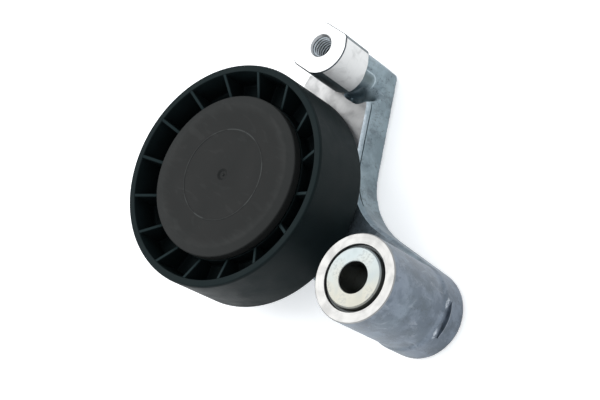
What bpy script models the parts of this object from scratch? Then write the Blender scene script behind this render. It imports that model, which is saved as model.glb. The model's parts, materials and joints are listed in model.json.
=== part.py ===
"""Belt tensioner idler: a cast lever on a pivot sleeve, carrying a ribbed pulley on a ball bearing.

The origin is on the pivot axis at the rear end of the pivot sleeve. +Z runs along both axes towards
the open front of the pulley, +Y runs from the pivot axis to the pulley axis, and +X is the side of
the threaded boss. Lengths are in millimetres, and every mesh is scaled to metres when it is made.
"""
import math

import bmesh
import bpy
from mathutils import Matrix

MM = 0.001
TAU = 2 * math.pi

# Sizes that drive the rest
PULLEY_OFFSET = 72.0        # pivot axis to pulley axis
GAP = 0.3                   # clearance between two pieces that touch
CUT_REACH = 10.0            # how far a cutter runs past the piece it cuts
ROUND_STEPS = 48            # sides of the large turned pieces
FINE_STEPS = 32             # sides of the small turned pieces

# Pivot
SLEEVE_LENGTH = 45.6
SLEEVE_R = 9.9
SLEEVE_BORE_R = 5.15
SLEEVE_CHAMFER = 0.5
BOSS_R = 14.6
BOSS_BORE_R = 11.2
BOSS_REAR_Z = 0.8
BOSS_FRONT_Z = 44.8
COLLAR_R = 15.2
NOTCH_START = math.radians(-101)
NOTCH_END = math.radians(-50)
NOTCH_DEPTH = 0.9
NOTCH_FRONT_Z = 12.6
NOTCH_REAR_Z = 9.6
BUSH_LENGTH = 15.0
BUSH_PLAY = 0.15            # between the sleeve and the bushes
SEAL_PLAY = 0.2             # between the sleeve and the seal rings
SEAL_WIDTH = 2.0
SEAL_RECESS = 1.2

# Lever plate
PLATE_REAR_Z = BOSS_REAR_Z
PLATE_FRONT_Z = 14.2
DISC_R = 29.0
FILLET_R = 27.0
ARM_ANGLE = math.radians(28.5)
ARM_EDGE = (30.9, 48.7)     # a point on the slanted edge of the arm
ARM_SIDE_X = 62.0
ARM_TOP_Y = 91.0
ARM_FLARE = 0.4             # how far the cast edge of the arm stands outside its machined line
ARM_NOSE_R = 2.0
ARM_SHOULDER_R = 8.5
DISC_MEETS_ARM = math.radians(30)
NECK_LEAN = math.radians(4.5)   # how much the straight edge on the other side leans in towards the disc
NECK_FILLET_R = 9.0
POCKET_DEPTH = 6.5
POCKET_COUNT = 8
POCKET_START = math.radians(27)
POCKET_SPAN = math.radians(36)
POCKET_INNER_R = 14.0
POCKET_OUTER_R = 24.5
NECK_POCKETS = (
    ((2.0, 20.0), (10.5, 21.5), (12.0, 38.0), (2.0, 43.0)),
    ((-2.0, 20.0), (-9.5, 21.5), (-9.0, 37.0), (-2.0, 42.0)),
)
SEAT_R = 11.5
SEAT_FRONT_Z = 17.6

# Threaded boss for the strut
STRUT_X = 55.0
STRUT_Y = 73.6
STRUT_FRONT_Z = 34.7
STRUT_R = 10.3
STRUT_SIDE_X = 62.8
STRUT_FLAT_X = 45.0
STRUT_FLAT_Y = 82.2
STRUT_FLAT_DROP = 1.2       # how much lower the flat ends at its inner corner
STRUT_ARC_END = math.radians(296)
SCOOP_FLOOR_Z = 9.5         # floor of the hollow cast round the foot of the strut boss
SCOOP_START = math.radians(105)
SCOOP_END = math.radians(289)
SCOOP_REACH = 26.0          # far enough to leave the arm
SCOOP_BEND = (45.2, 61.3)   # where the hollow's wall turns towards the pivot side of the arm
SCOOP_BEND_R = 4.2
SCOOP_WALL_END = (52.6, 59.4)
SCOOP_FOOT_R = 9.3
STRUT_CORE_R = 3.4
STRUT_MOUTH_R = 4.2
BLOCK_FRONT_Z = 19.8
BLOCK_INSET = 0.2           # how far the block stands inside the arm's machined line
BLOCK_REACH = 3.5           # how far short of the boss's axis the block starts
BLOCK_DROP = 1.8            # how much lower the block's top ends at its inner corner
BOSS_INSET = 0.5
SCOOP_TOP_Z = BLOCK_FRONT_Z + 0.3

# Pulley
PULLEY_R = 40.0
PULLEY_REAR_Z = 16.2
PULLEY_WIDTH = 26.0
PULLEY_FRONT_Z = PULLEY_REAR_Z + PULLEY_WIDTH
RIM_INNER_R = 37.4
RIM_CHAMFER = 0.8
BARREL_R = 29.2
BARREL_FRONT_Z = 36.6
BARREL_REAR_Z = 17.4
WEB_THICKNESS = 4.0
RIB_COUNT = 16
RIB_WIDTH = 1.2
RIB_PHASE = math.radians(18.75)
RIB_DROP = 5.0              # how far the rib's edge falls from the rim to the barrel
LIP_R = 21.9                # the two lips that hold the bearing in the moulding
LIP_WIDTH = 1.2

# Dust cap
CAP_R = 29.0
CAP_FRONT_Z = 41.6
CAP_THICKNESS = 1.5
CAP_BEVEL = 3.2
CAP_SNAP_R = 23.2
CAP_SNAP_WALL = 1.2
CAP_SNAP_DEPTH = 3.5        # how far the skirt reaches below the cap

# Ball bearing, 17 x 47 x 14
BEARING_REAR_Z = 19.2
BEARING_WIDTH = 14.0
BEARING_MID_Z = BEARING_REAR_Z + BEARING_WIDTH / 2
BEARING_FRONT_Z = BEARING_REAR_Z + BEARING_WIDTH
BEARING_BORE_R = 8.5
BEARING_R = 23.5
INNER_SHOULDER_R = 12.2
OUTER_SHOULDER_R = 19.6
PITCH_R = 16.0
BALL_R = 4.2
RACE_R = 4.5
BALL_COUNT = 7
SEAL_SEAT_R = 20.7          # recess in the outer ring that holds each seal
SEAL_SEAT_DEPTH = 1.7
SEAL_INNER_R = 12.6
SEAL_THICKNESS = 1.0
CAGE_INNER_R = 14.3
CAGE_OUTER_R = 17.7
CAGE_BACK = 0.9             # thickness of the cage behind its pockets
CAGE_HORN = 1.7             # how far the cage reaches past the middle of the balls

# Pulley bolt
BOLT_R = 4.9
BOLT_END_Z = 2.0
BOLT_PLAY = 0.4             # round the shank, in the washer and the spacer
WASHER_R = 11.5
WASHER_THICKNESS = 1.6
FLANGE_R = 9.6
FLANGE_THICKNESS = 1.4
HEX_ACROSS_FLATS = 15.0
HEX_HEIGHT = 2.4

# Rear dust shield, a dished disc
SHIELD_STEP_R = 13.0
SHIELD_R = 20.4
SHIELD_DISH = 0.6
SHIELD_THICKNESS = 0.9

# name: (colour, metallic, roughness)
FINISHES = {
    "cast_aluminium": ((0.42, 0.46, 0.50), 0.9, 0.55),
    "zinc_steel": ((0.72, 0.73, 0.72), 1.0, 0.35),
    "bearing_steel": ((0.62, 0.62, 0.62), 1.0, 0.2),
    "black_nylon": ((0.035, 0.038, 0.038), 0.0, 0.55),
    "cap_nylon": ((0.045, 0.047, 0.047), 0.0, 0.6),
    "bush_polymer": ((0.30, 0.27, 0.20), 0.0, 0.5),
    "seal_rubber": ((0.02, 0.02, 0.02), 0.0, 0.7),
    "cage_polymer": ((0.22, 0.16, 0.09), 0.0, 0.5),
    "pressed_steel": ((0.55, 0.55, 0.54), 1.0, 0.4),
}


def clear_scene():
    for old in list(bpy.data.objects):
        bpy.data.objects.remove(old, do_unlink=True)


def finish(name):
    """The Principled material of a named finish, made once."""
    material = bpy.data.materials.get(name)
    if material is None:
        colour, metallic, roughness = FINISHES[name]
        material = bpy.data.materials.new(name)
        material.use_nodes = True
        shader = material.node_tree.nodes["Principled BSDF"]
        shader.inputs["Base Color"].default_value = (*colour, 1.0)
        shader.inputs["Metallic"].default_value = metallic
        shader.inputs["Roughness"].default_value = roughness
    return material


def add_object(name, bm, finish_name=None, parent=None, smooth=True):
    """Turn a bmesh in millimetres into a scene object in metres."""
    bmesh.ops.recalc_face_normals(bm, faces=bm.faces)
    bm.transform(Matrix.Scale(MM, 4))
    mesh = bpy.data.meshes.new(name)
    bm.to_mesh(mesh)
    bm.free()
    if smooth:
        mesh.shade_smooth()
        mesh.set_sharp_from_angle(angle=math.radians(35))
    result = bpy.data.objects.new(name, mesh)
    bpy.context.scene.collection.objects.link(result)
    if finish_name:
        mesh.materials.append(finish(finish_name))
    if parent:
        result.parent = parent
    return result


def add_empty(name, x=0.0, y=0.0):
    """An empty on a joint's axis."""
    empty = bpy.data.objects.new(name, None)
    empty.location = (x * MM, y * MM, 0.0)
    bpy.context.scene.collection.objects.link(empty)
    return empty


def add_cutter(name, bm, parent=None):
    cutter = add_object(name, bm, parent=parent, smooth=False)
    cutter.hide_render = True
    cutter.display_type = "WIRE"
    return cutter


def combine(target, other, operation):
    """Join or cut with an exact Boolean that stays on the target."""
    modifier = target.modifiers.new(other.name, "BOOLEAN")
    modifier.operation = operation
    modifier.solver = "EXACT"
    modifier.object = other


def merged(pieces):
    """Several separate solids in one bmesh, for one Boolean."""
    result = bmesh.new()
    carrier = bpy.data.meshes.new("carrier")
    for piece in pieces:
        bmesh.ops.recalc_face_normals(piece, faces=piece.faces)
        piece.to_mesh(carrier)
        piece.free()
        result.from_mesh(carrier)
    bpy.data.meshes.remove(carrier)
    return result


def arc(centre, radius, start, end, steps):
    """Points from one angle to another round a centre, both ends included."""
    points = []
    for i in range(steps + 1):
        angle = start + (end - start) * i / steps
        points.append((centre[0] + radius * math.cos(angle), centre[1] + radius * math.sin(angle)))
    return points


def fillet(before, corner, after, radius, steps):
    """The arc that rounds one corner of an outline."""
    to_before = math.atan2(before[1] - corner[1], before[0] - corner[0])
    to_after = math.atan2(after[1] - corner[1], after[0] - corner[0])
    opening = (to_after - to_before + math.pi) % TAU - math.pi
    bisector = to_before + opening / 2
    reach = radius / math.sin(abs(opening) / 2)
    centre = (corner[0] + reach * math.cos(bisector), corner[1] + reach * math.sin(bisector))
    sweep = math.copysign(math.pi - abs(opening), opening)
    middle = bisector + math.pi
    return arc(centre, radius, middle + sweep / 2, middle - sweep / 2, steps)


def prism(outline, low, high, centre=(0.0, 0.0)):
    """A closed prism on a plan outline, from one height to another."""
    bm = bmesh.new()
    floor = [bm.verts.new((x + centre[0], y + centre[1], low)) for x, y in outline]
    face = bm.faces.new(floor)
    lifted = bmesh.ops.extrude_face_region(bm, geom=[face])
    top = [item for item in lifted["geom"] if isinstance(item, bmesh.types.BMVert)]
    bmesh.ops.translate(bm, verts=top, vec=(0, 0, high - low))
    return bm


def turned(profile, steps, centre=(0.0, 0.0), closed=True):
    """Turn a (radius, height) profile round a vertical axis.

    A closed profile makes a ring. An open one starts and ends on the axis and makes a solid.
    """
    bm = bmesh.new()
    rings = []
    for radius, height in profile:
        if radius < 1e-6:
            rings.append([bm.verts.new((centre[0], centre[1], height))] * steps)
            continue
        ring = []
        for i in range(steps):
            angle = TAU * i / steps
            x = centre[0] + radius * math.cos(angle)
            y = centre[1] + radius * math.sin(angle)
            ring.append(bm.verts.new((x, y, height)))
        rings.append(ring)
    pairs = list(zip(rings, rings[1:]))
    if closed:
        pairs.append((rings[-1], rings[0]))
    for low, high in pairs:
        for i in range(steps):
            j = (i + 1) % steps
            corners = [low[i], low[j], high[j], high[i]]
            bm.faces.new(list(dict.fromkeys(corners)))
    return bm


def tube(inner, outer, low, high, steps=FINE_STEPS, centre=(0.0, 0.0), chamfer=0.0):
    """A plain ring, with a chamfer on its four edges if one is given."""
    if chamfer:
        profile = [(inner + chamfer, low), (outer - chamfer, low), (outer, low + chamfer),
                   (outer, high - chamfer), (outer - chamfer, high), (inner + chamfer, high),
                   (inner, high - chamfer), (inner, low + chamfer)]
    else:
        profile = [(inner, low), (outer, low), (outer, high), (inner, high)]
    return turned(profile, steps, centre)


def cylinder(radius, low, high, steps=ROUND_STEPS, centre=(0.0, 0.0)):
    return turned([(0, low), (radius, low), (radius, high), (0, high)], steps, centre, closed=False)


# Pivot sleeve

def make_pivot_sleeve():
    bm = tube(SLEEVE_BORE_R, SLEEVE_R, 0.0, SLEEVE_LENGTH, chamfer=SLEEVE_CHAMFER)
    return add_object("pivot_sleeve", bm, "zinc_steel")


# Lever

def plate_outline():
    """The lever's plan: a disc behind the pulley, blended to the pivot and to the strut boss."""
    foot = (COLLAR_R, 0.0)
    armpit = arm_nose(COLLAR_R, -ARM_FLARE)
    nose = arm_nose(ARM_SIDE_X, -ARM_FLARE)
    shoulder = (ARM_SIDE_X, ARM_TOP_Y)
    neck, disc_end = neck_fillet(5)
    disc = arc((0.0, PULLEY_OFFSET), DISC_R, DISC_MEETS_ARM, disc_end, 22)
    points = arc((0.0, 0.0), COLLAR_R, math.pi - NECK_LEAN, TAU, 20)
    points += fillet(foot, armpit, nose, FILLET_R, 8)
    points += fillet(armpit, nose, shoulder, ARM_NOSE_R, 4)
    points += fillet(nose, shoulder, disc[0], ARM_SHOULDER_R, 8)
    return points + disc[:-1] + neck


def neck_fillet(steps):
    """The arc from the disc to the neck's straight -X edge, and the angle at which it leaves the disc."""
    along = (math.sin(NECK_LEAN), math.cos(NECK_LEAN))
    outwards = (-along[1], along[0])
    reach = DISC_R + NECK_FILLET_R
    aside = COLLAR_R + NECK_FILLET_R - PULLEY_OFFSET * outwards[1]
    back = math.sqrt(reach ** 2 - aside ** 2)
    centre = (aside * outwards[0] - back * along[0], PULLEY_OFFSET + aside * outwards[1] - back * along[1])
    towards_disc = math.atan2(PULLEY_OFFSET - centre[1], -centre[0])
    return arc(centre, NECK_FILLET_R, towards_disc, -NECK_LEAN, steps), towards_disc + math.pi


def arm_nose(side_x, inset=0.0):
    """Where the slanted line of the arm, or one a little inside it, meets a side of the given x."""
    return (side_x, ARM_EDGE[1] + (side_x - ARM_EDGE[0]) * math.tan(ARM_ANGLE) + inset)


def strut_boss_outline():
    """Round towards the pivot, flat on the other three sides."""
    half = math.acos((STRUT_X - STRUT_FLAT_X) / STRUT_R)
    foot = arc((STRUT_X, STRUT_Y), STRUT_R, math.pi + half, STRUT_ARC_END, 12)
    nose = arm_nose(STRUT_SIDE_X, BOSS_INSET)
    outer = (STRUT_SIDE_X, STRUT_FLAT_Y)
    inner = (STRUT_FLAT_X, STRUT_FLAT_Y - STRUT_FLAT_DROP)
    points = foot + fillet(foot[-1], nose, outer, 1.0, 3) + fillet(nose, outer, inner, 5.5, 6)
    return points + fillet(outer, inner, foot[0], 3.0, 4)


def block_outline():
    """The raised block between the plate and the outer side of the strut boss."""
    side_x = ARM_SIDE_X - BLOCK_INSET
    nose = arm_nose(side_x, BLOCK_INSET)
    shoulder = (side_x, ARM_TOP_Y - BLOCK_INSET)
    inner_x = STRUT_X - BLOCK_REACH
    inner_top = (inner_x, ARM_TOP_Y - BLOCK_DROP)
    inner_low = arm_nose(inner_x, BLOCK_INSET)
    points = fillet(inner_low, nose, shoulder, ARM_NOSE_R, 4)
    points += fillet(nose, shoulder, inner_top, ARM_SHOULDER_R - BLOCK_INSET, 8)
    return points + [inner_top, inner_low]


def scoop_outline():
    """The hollow round the inner side of the boss's foot, open at both edges of the arm."""
    axis = (STRUT_X, STRUT_Y)
    low, high = (arc(axis, SCOOP_REACH, angle, angle, 1)[0] for angle in (SCOOP_END, SCOOP_START))
    wall_high = (SCOOP_BEND[0], high[1])
    wall = fillet(wall_high, SCOOP_BEND, SCOOP_WALL_END, SCOOP_BEND_R, 4)
    return arc(axis, SCOOP_FOOT_R, SCOOP_END, SCOOP_START, 16) + [high, wall_high, *wall, SCOOP_WALL_END, low]


def ring_segment(inner, outer, start, end, centre):
    return arc(centre, outer, start, end, 6) + arc(centre, inner, end, start, 6)


def rear_pockets():
    """Narrow lightening pockets in the rear face, with ribs left between them."""
    axis = (0.0, PULLEY_OFFSET)
    outlines = list(NECK_POCKETS)
    for i in range(POCKET_COUNT):
        start = POCKET_START + TAU * i / POCKET_COUNT
        outlines.append(ring_segment(POCKET_INNER_R, POCKET_OUTER_R, start, start + POCKET_SPAN, axis))
    return [prism(outline, PLATE_REAR_Z - 1.0, PLATE_REAR_Z + POCKET_DEPTH) for outline in outlines]


def notch():
    """The shallow crescent in the side of the pivot boss."""
    outline = ring_segment(COLLAR_R - NOTCH_DEPTH, COLLAR_R + 2.0, NOTCH_START, NOTCH_END, (0.0, 0.0))
    return prism(outline, NOTCH_REAR_Z, NOTCH_FRONT_Z)


def strut_hole():
    above = 1.0
    mouth_z = STRUT_FRONT_Z - (STRUT_MOUTH_R - STRUT_CORE_R)
    profile = [(0, -CUT_REACH), (STRUT_CORE_R, -CUT_REACH), (STRUT_CORE_R, mouth_z),
               (STRUT_MOUTH_R + above, STRUT_FRONT_Z + above), (0, STRUT_FRONT_Z + above)]
    return turned(profile, FINE_STEPS, (STRUT_X, STRUT_Y), closed=False)


def make_lever_arm(parent):
    plate = prism(plate_outline(), PLATE_REAR_Z, PLATE_FRONT_Z)
    lever = add_object("lever_arm", plate, "cast_aluminium", parent)
    boss = [(0, BOSS_REAR_Z + 0.2), (BOSS_R, BOSS_REAR_Z + 0.2), (BOSS_R, BOSS_FRONT_Z - 0.4),
            (BOSS_R - 0.4, BOSS_FRONT_Z), (0, BOSS_FRONT_Z)]
    joined = {
        "join_boss": turned(boss, ROUND_STEPS, closed=False),
        "join_seat": cylinder(SEAT_R, PLATE_REAR_Z + 1.0, SEAT_FRONT_Z, centre=(0.0, PULLEY_OFFSET)),
        "join_block": prism(block_outline(), PLATE_REAR_Z + 1.0, BLOCK_FRONT_Z),
        "join_strut": prism(strut_boss_outline(), PLATE_REAR_Z + 2.0, STRUT_FRONT_Z),
    }
    for name, bm in joined.items():
        combine(lever, add_cutter(name, bm, parent), "UNION")
    pivot_bore = cylinder(BOSS_BORE_R, -CUT_REACH, SLEEVE_LENGTH + CUT_REACH)
    bolt_hole = cylinder(BOLT_R + GAP, -CUT_REACH, SEAT_FRONT_Z + CUT_REACH, FINE_STEPS, (0.0, PULLEY_OFFSET))
    scoop = prism(scoop_outline(), SCOOP_FLOOR_Z, SCOOP_TOP_Z)
    cuts = merged([pivot_bore, bolt_hole, strut_hole(), scoop, notch(), *rear_pockets()])
    combine(lever, add_cutter("cut_lever", cuts, parent), "DIFFERENCE")


def make_bushes(parent):
    inner = SLEEVE_R + BUSH_PLAY
    outer = BOSS_BORE_R - GAP
    front_low = BOSS_FRONT_Z - SEAL_RECESS - SEAL_WIDTH - GAP - BUSH_LENGTH
    rear_low = BOSS_REAR_Z + SEAL_RECESS + SEAL_WIDTH + GAP
    for name, low in (("front_bush", front_low), ("rear_bush", rear_low)):
        add_object(name, tube(inner, outer, low, low + BUSH_LENGTH), "bush_polymer", parent)


def make_seal_rings(parent):
    inner = SLEEVE_R + SEAL_PLAY
    outer = BOSS_BORE_R - GAP
    front_low = BOSS_FRONT_Z - SEAL_RECESS - SEAL_WIDTH
    rear_low = BOSS_REAR_Z + SEAL_RECESS
    for name, low in (("front_seal_ring", front_low), ("rear_seal_ring", rear_low)):
        add_object(name, tube(inner, outer, low, low + SEAL_WIDTH), "seal_rubber", parent)


# Pulley bolt and what it clamps

def make_pulley_bolt(parent, washer_front):
    """A low flanged hexagon bolt, screwed through the lever from the front."""
    low = washer_front + GAP
    hex_low = low + FLANGE_THICKNESS
    point = 1.0
    profile = [(0, BOLT_END_Z), (BOLT_R - point, BOLT_END_Z), (BOLT_R, BOLT_END_Z + point), (BOLT_R, low),
               (FLANGE_R, low), (FLANGE_R - 0.4, hex_low), (0, hex_low)]
    bolt = add_object("pulley_bolt", turned(profile, FINE_STEPS, closed=False), "zinc_steel", parent)
    hexagon = arc((0.0, 0.0), HEX_ACROSS_FLATS / math.sqrt(3), 0.0, TAU * 5 / 6, 5)
    head = add_cutter("join_hex_head", prism(hexagon, hex_low - 0.8, hex_low + HEX_HEIGHT), parent)
    combine(bolt, head, "UNION")


def make_bolt_washer(parent):
    low = BEARING_FRONT_Z + GAP
    bm = tube(BOLT_R + BOLT_PLAY, WASHER_R, low, low + WASHER_THICKNESS)
    add_object("bolt_washer", bm, "zinc_steel", parent)
    return low + WASHER_THICKNESS


def make_hub_spacer(parent):
    bm = tube(BOLT_R + BOLT_PLAY, BEARING_BORE_R - GAP, SEAT_FRONT_Z + GAP, BEARING_FRONT_Z)
    add_object("hub_spacer", bm, "zinc_steel", parent)


def make_rear_dust_shield(parent):
    """A dished steel disc held between the lever's seat and the bearing's inner ring."""
    low = SEAT_FRONT_Z + GAP
    high = low + SHIELD_THICKNESS
    step = 1.0
    profile = [(BEARING_BORE_R, low), (SHIELD_STEP_R, low), (SHIELD_STEP_R + step, low - SHIELD_DISH),
               (SHIELD_R, low - SHIELD_DISH), (SHIELD_R, high - SHIELD_DISH - 0.1),
               (SHIELD_STEP_R + step + 0.4, high - SHIELD_DISH - 0.1), (SHIELD_STEP_R + 0.4, high),
               (BEARING_BORE_R, high)]
    add_object("rear_dust_shield", turned(profile, FINE_STEPS), "pressed_steel", parent)


# Bearing

def groove(mid_r, side, steps=5):
    """The raceway's arc, as (radius, height) points from the rear edge of the groove to the front."""
    shoulder = INNER_SHOULDER_R if side < 0 else OUTER_SHOULDER_R
    half = math.acos(abs(shoulder - mid_r) / RACE_R)
    points = []
    for i in range(steps + 1):
        angle = -half + 2 * half * i / steps
        points.append((mid_r + side * RACE_R * math.cos(angle), BEARING_MID_Z + RACE_R * math.sin(angle)))
    return points


def make_inner_ring(parent):
    low = BEARING_REAR_Z
    high = BEARING_FRONT_Z
    profile = [(BEARING_BORE_R, low), (INNER_SHOULDER_R, low), *groove(PITCH_R, -1),
               (INNER_SHOULDER_R, high), (BEARING_BORE_R, high)]
    add_object("bearing_inner_ring", turned(profile, FINE_STEPS), "bearing_steel", parent)


def make_outer_ring(parent):
    low = BEARING_REAR_Z
    high = BEARING_FRONT_Z
    seat_low = low + SEAL_SEAT_DEPTH
    seat_high = high - SEAL_SEAT_DEPTH
    profile = [(SEAL_SEAT_R, low), (BEARING_R, low), (BEARING_R, high), (SEAL_SEAT_R, high),
               (SEAL_SEAT_R, seat_high), (OUTER_SHOULDER_R, seat_high), *reversed(groove(PITCH_R, 1)),
               (OUTER_SHOULDER_R, seat_low), (SEAL_SEAT_R, seat_low)]
    add_object("bearing_outer_ring", turned(profile, FINE_STEPS), "bearing_steel", parent)


def make_bearing_seals(parent):
    outer = SEAL_SEAT_R - GAP
    rear_low = BEARING_REAR_Z + GAP
    front_low = BEARING_FRONT_Z - GAP - SEAL_THICKNESS
    for name, low in (("rear_bearing_seal", rear_low), ("front_bearing_seal", front_low)):
        bm = tube(SEAL_INNER_R, outer, low, low + SEAL_THICKNESS)
        add_object(name, bm, "seal_rubber", parent)


def sphere(radius, centre):
    bm = bmesh.new()
    bmesh.ops.create_uvsphere(bm, u_segments=12, v_segments=8, radius=radius)
    bmesh.ops.translate(bm, verts=bm.verts, vec=centre)
    return bm


def ball_centre(index):
    angle = TAU * index / BALL_COUNT
    return (PITCH_R * math.cos(angle), PITCH_R * math.sin(angle), BEARING_MID_Z)


def make_cage_and_balls(parent):
    """A snap-in crown cage, open towards the front, and its balls."""
    low = BEARING_MID_Z - RACE_R - CAGE_BACK
    ring = tube(CAGE_INNER_R, CAGE_OUTER_R, low, BEARING_MID_Z + CAGE_HORN)
    cage = add_object("bearing_cage", ring, "cage_polymer", parent)
    for i in range(BALL_COUNT):
        pocket = add_cutter(f"cut_pocket_{i + 1}", sphere(RACE_R, ball_centre(i)), parent)
        combine(cage, pocket, "DIFFERENCE")
        add_object(f"ball_{i + 1}", sphere(BALL_R, ball_centre(i)), "bearing_steel", parent)


# Pulley

def make_pulley_body(parent):
    """Rim, web and hub barrel in one moulding, with ribs on both sides of the web."""
    web_low = (PULLEY_REAR_Z + PULLEY_FRONT_Z - WEB_THICKNESS) / 2
    web_high = web_low + WEB_THICKNESS
    bore = BEARING_R + GAP
    lip_rear = BEARING_REAR_Z - GAP
    lip_front = BEARING_FRONT_Z + GAP
    edge = PULLEY_R - RIM_CHAMFER
    rim = [(RIM_INNER_R, web_low), (RIM_INNER_R, PULLEY_REAR_Z), (edge, PULLEY_REAR_Z),
           (PULLEY_R, PULLEY_REAR_Z + RIM_CHAMFER), (PULLEY_R, PULLEY_FRONT_Z - RIM_CHAMFER),
           (edge, PULLEY_FRONT_Z), (RIM_INNER_R, PULLEY_FRONT_Z), (RIM_INNER_R, web_high)]
    barrel = [(BARREL_R, web_high), (BARREL_R, BARREL_FRONT_Z), (bore, BARREL_FRONT_Z)]
    seat = [(bore, lip_front + LIP_WIDTH), (LIP_R, lip_front + LIP_WIDTH), (LIP_R, lip_front),
            (bore, lip_front), (bore, lip_rear), (LIP_R, lip_rear)]
    profile = [(LIP_R, BARREL_REAR_Z), (BARREL_R, BARREL_REAR_Z), (BARREL_R, web_low), *rim, *barrel, *seat]
    body = add_object("pulley_body", turned(profile, ROUND_STEPS), "black_nylon", parent)
    combine(body, add_cutter("join_ribs", rib_crown(web_low + 1.0, web_high - 1.0), parent), "UNION")


def rib_crown(front_foot, rear_foot):
    """All the ribs as separate solids in one mesh, each rooted in the web, the rim and the barrel."""
    outer = RIM_INNER_R + 1.0
    root = BARREL_R - 1.0
    clear = BARREL_R + 0.15
    front_z = PULLEY_FRONT_Z - 0.02
    rear_z = PULLEY_REAR_Z + 0.02
    ledge_z = BARREL_FRONT_Z - 0.5
    front = [(root, front_foot), (outer, front_foot), (outer, front_z), (RIM_INNER_R, front_z),
             (clear, PULLEY_FRONT_Z - RIB_DROP), (clear, ledge_z), (root, ledge_z)]
    rear = [(root, rear_foot), (outer, rear_foot), (outer, rear_z), (RIM_INNER_R, rear_z),
            (clear, PULLEY_REAR_Z + RIB_DROP), (root, PULLEY_REAR_Z + RIB_DROP)]
    result = bmesh.new()
    for section in (front, rear):
        for i in range(RIB_COUNT):
            add_rib(result, section, RIB_PHASE + TAU * i / RIB_COUNT, RIB_WIDTH / 2)
    return result


def add_rib(bm, section, angle, half):
    """One flat rib, from its (radius, height) outline."""
    along = (math.cos(angle), math.sin(angle))
    across = (-along[1], along[0])
    sides = []
    for offset in (-half, half):
        sides.append([bm.verts.new((r * along[0] + offset * across[0], r * along[1] + offset * across[1], z))
                      for r, z in section])
    bm.faces.new(sides[0])
    bm.faces.new(list(reversed(sides[1])))
    count = len(section)
    for i in range(count):
        j = (i + 1) % count
        bm.faces.new((sides[0][i], sides[1][i], sides[1][j], sides[0][j]))


def make_dust_cap(parent):
    """A shallow cap over the barrel, with a snap skirt inside it."""
    under = CAP_FRONT_Z - CAP_THICKNESS
    low = BARREL_FRONT_Z + GAP
    snap_low = under - CAP_SNAP_DEPTH
    snap_inner = CAP_SNAP_R - CAP_SNAP_WALL
    profile = [(0, under), (snap_inner, under), (snap_inner, snap_low), (CAP_SNAP_R, snap_low),
               (CAP_SNAP_R, low), (CAP_R, low), (CAP_R, CAP_FRONT_Z - 1.0), (CAP_R - CAP_BEVEL, CAP_FRONT_Z),
               (0, CAP_FRONT_Z)]
    add_object("dust_cap", turned(profile, ROUND_STEPS, closed=False), "cap_nylon", parent)


def main():
    clear_scene()
    make_pivot_sleeve()
    lever_pivot = add_empty("lever_pivot")
    make_lever_arm(lever_pivot)
    make_bushes(lever_pivot)
    make_seal_rings(lever_pivot)
    bolt_axis = add_empty("bolt_axis", 0.0, PULLEY_OFFSET)
    bolt_axis.parent = lever_pivot
    washer_front = make_bolt_washer(bolt_axis)
    make_pulley_bolt(bolt_axis, washer_front)
    make_hub_spacer(bolt_axis)
    make_rear_dust_shield(bolt_axis)
    make_inner_ring(bolt_axis)
    cage_axis = add_empty("cage_axis", 0.0, PULLEY_OFFSET)
    make_cage_and_balls(cage_axis)
    pulley_axis = add_empty("pulley_axis", 0.0, PULLEY_OFFSET)
    make_pulley_body(pulley_axis)
    make_outer_ring(pulley_axis)
    make_bearing_seals(pulley_axis)
    make_dust_cap(pulley_axis)


main()
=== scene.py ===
"""Looks of the belt tensioner idler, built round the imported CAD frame.

Meshes are made in millimetres in the row frame and scaled to metres when they become pieces.
"""
import json
import math

import bmesh
import bpy
import numpy as np
from mathutils import Matrix, Vector, noise


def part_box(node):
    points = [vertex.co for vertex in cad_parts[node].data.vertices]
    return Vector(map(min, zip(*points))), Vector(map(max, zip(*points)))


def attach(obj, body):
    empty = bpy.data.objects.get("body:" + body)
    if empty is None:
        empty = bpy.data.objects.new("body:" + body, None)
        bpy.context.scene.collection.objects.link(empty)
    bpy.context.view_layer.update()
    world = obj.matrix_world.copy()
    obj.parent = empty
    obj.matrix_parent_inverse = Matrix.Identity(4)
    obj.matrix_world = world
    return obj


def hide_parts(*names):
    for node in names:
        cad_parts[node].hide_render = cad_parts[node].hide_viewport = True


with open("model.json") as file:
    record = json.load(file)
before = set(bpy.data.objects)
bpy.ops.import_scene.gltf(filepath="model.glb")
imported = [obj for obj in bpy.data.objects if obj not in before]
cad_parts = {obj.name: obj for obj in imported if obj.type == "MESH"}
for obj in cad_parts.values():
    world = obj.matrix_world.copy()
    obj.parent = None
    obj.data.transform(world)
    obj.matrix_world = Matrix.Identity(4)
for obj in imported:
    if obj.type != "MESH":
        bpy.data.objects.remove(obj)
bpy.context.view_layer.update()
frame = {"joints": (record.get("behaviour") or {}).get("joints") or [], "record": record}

MM = 0.001
TAU = 2 * math.pi
LATHE_STEPS = 160
SMALL_STEPS = 96
SHARP_ANGLE = math.radians(32.0)


def node_box(node):
    """A CAD node's lowest and highest corners, in millimetres."""
    low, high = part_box(node)
    return low / MM, high / MM


def joint_axis(name):
    """Where a hinge's axis stands, as (x, y) in millimetres."""
    for joint in frame["joints"]:
        if joint["name"] == name:
            return (joint["pos_m"][0] / MM, joint["pos_m"][1] / MM)
    raise KeyError(name)


PIVOT = joint_axis("lever_swing")
HUB = joint_axis("pulley_spin")
for opening in frame["record"]["physics"]["openings"]:
    if opening["name"] == "strut_bolt_hole":
        low, high = opening["box_m"]
        STRUT = ((low[0] + high[0]) / 2 / MM, (low[1] + high[1]) / 2 / MM)
STRUT_FRONT_Z = next(m["pos_m"][2] for m in frame["record"]["mounts"] if m["name"] == "strut_boss_face") / MM


# ---------------------------------------------------------------- mesh helpers

def polar(centre, radius, angle):
    return (centre[0] + radius * math.cos(angle), centre[1] + radius * math.sin(angle))


def arc(centre, radius, start, end, steps):
    return [polar(centre, radius, angle) for angle in np.linspace(start, end, steps + 1)]


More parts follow.
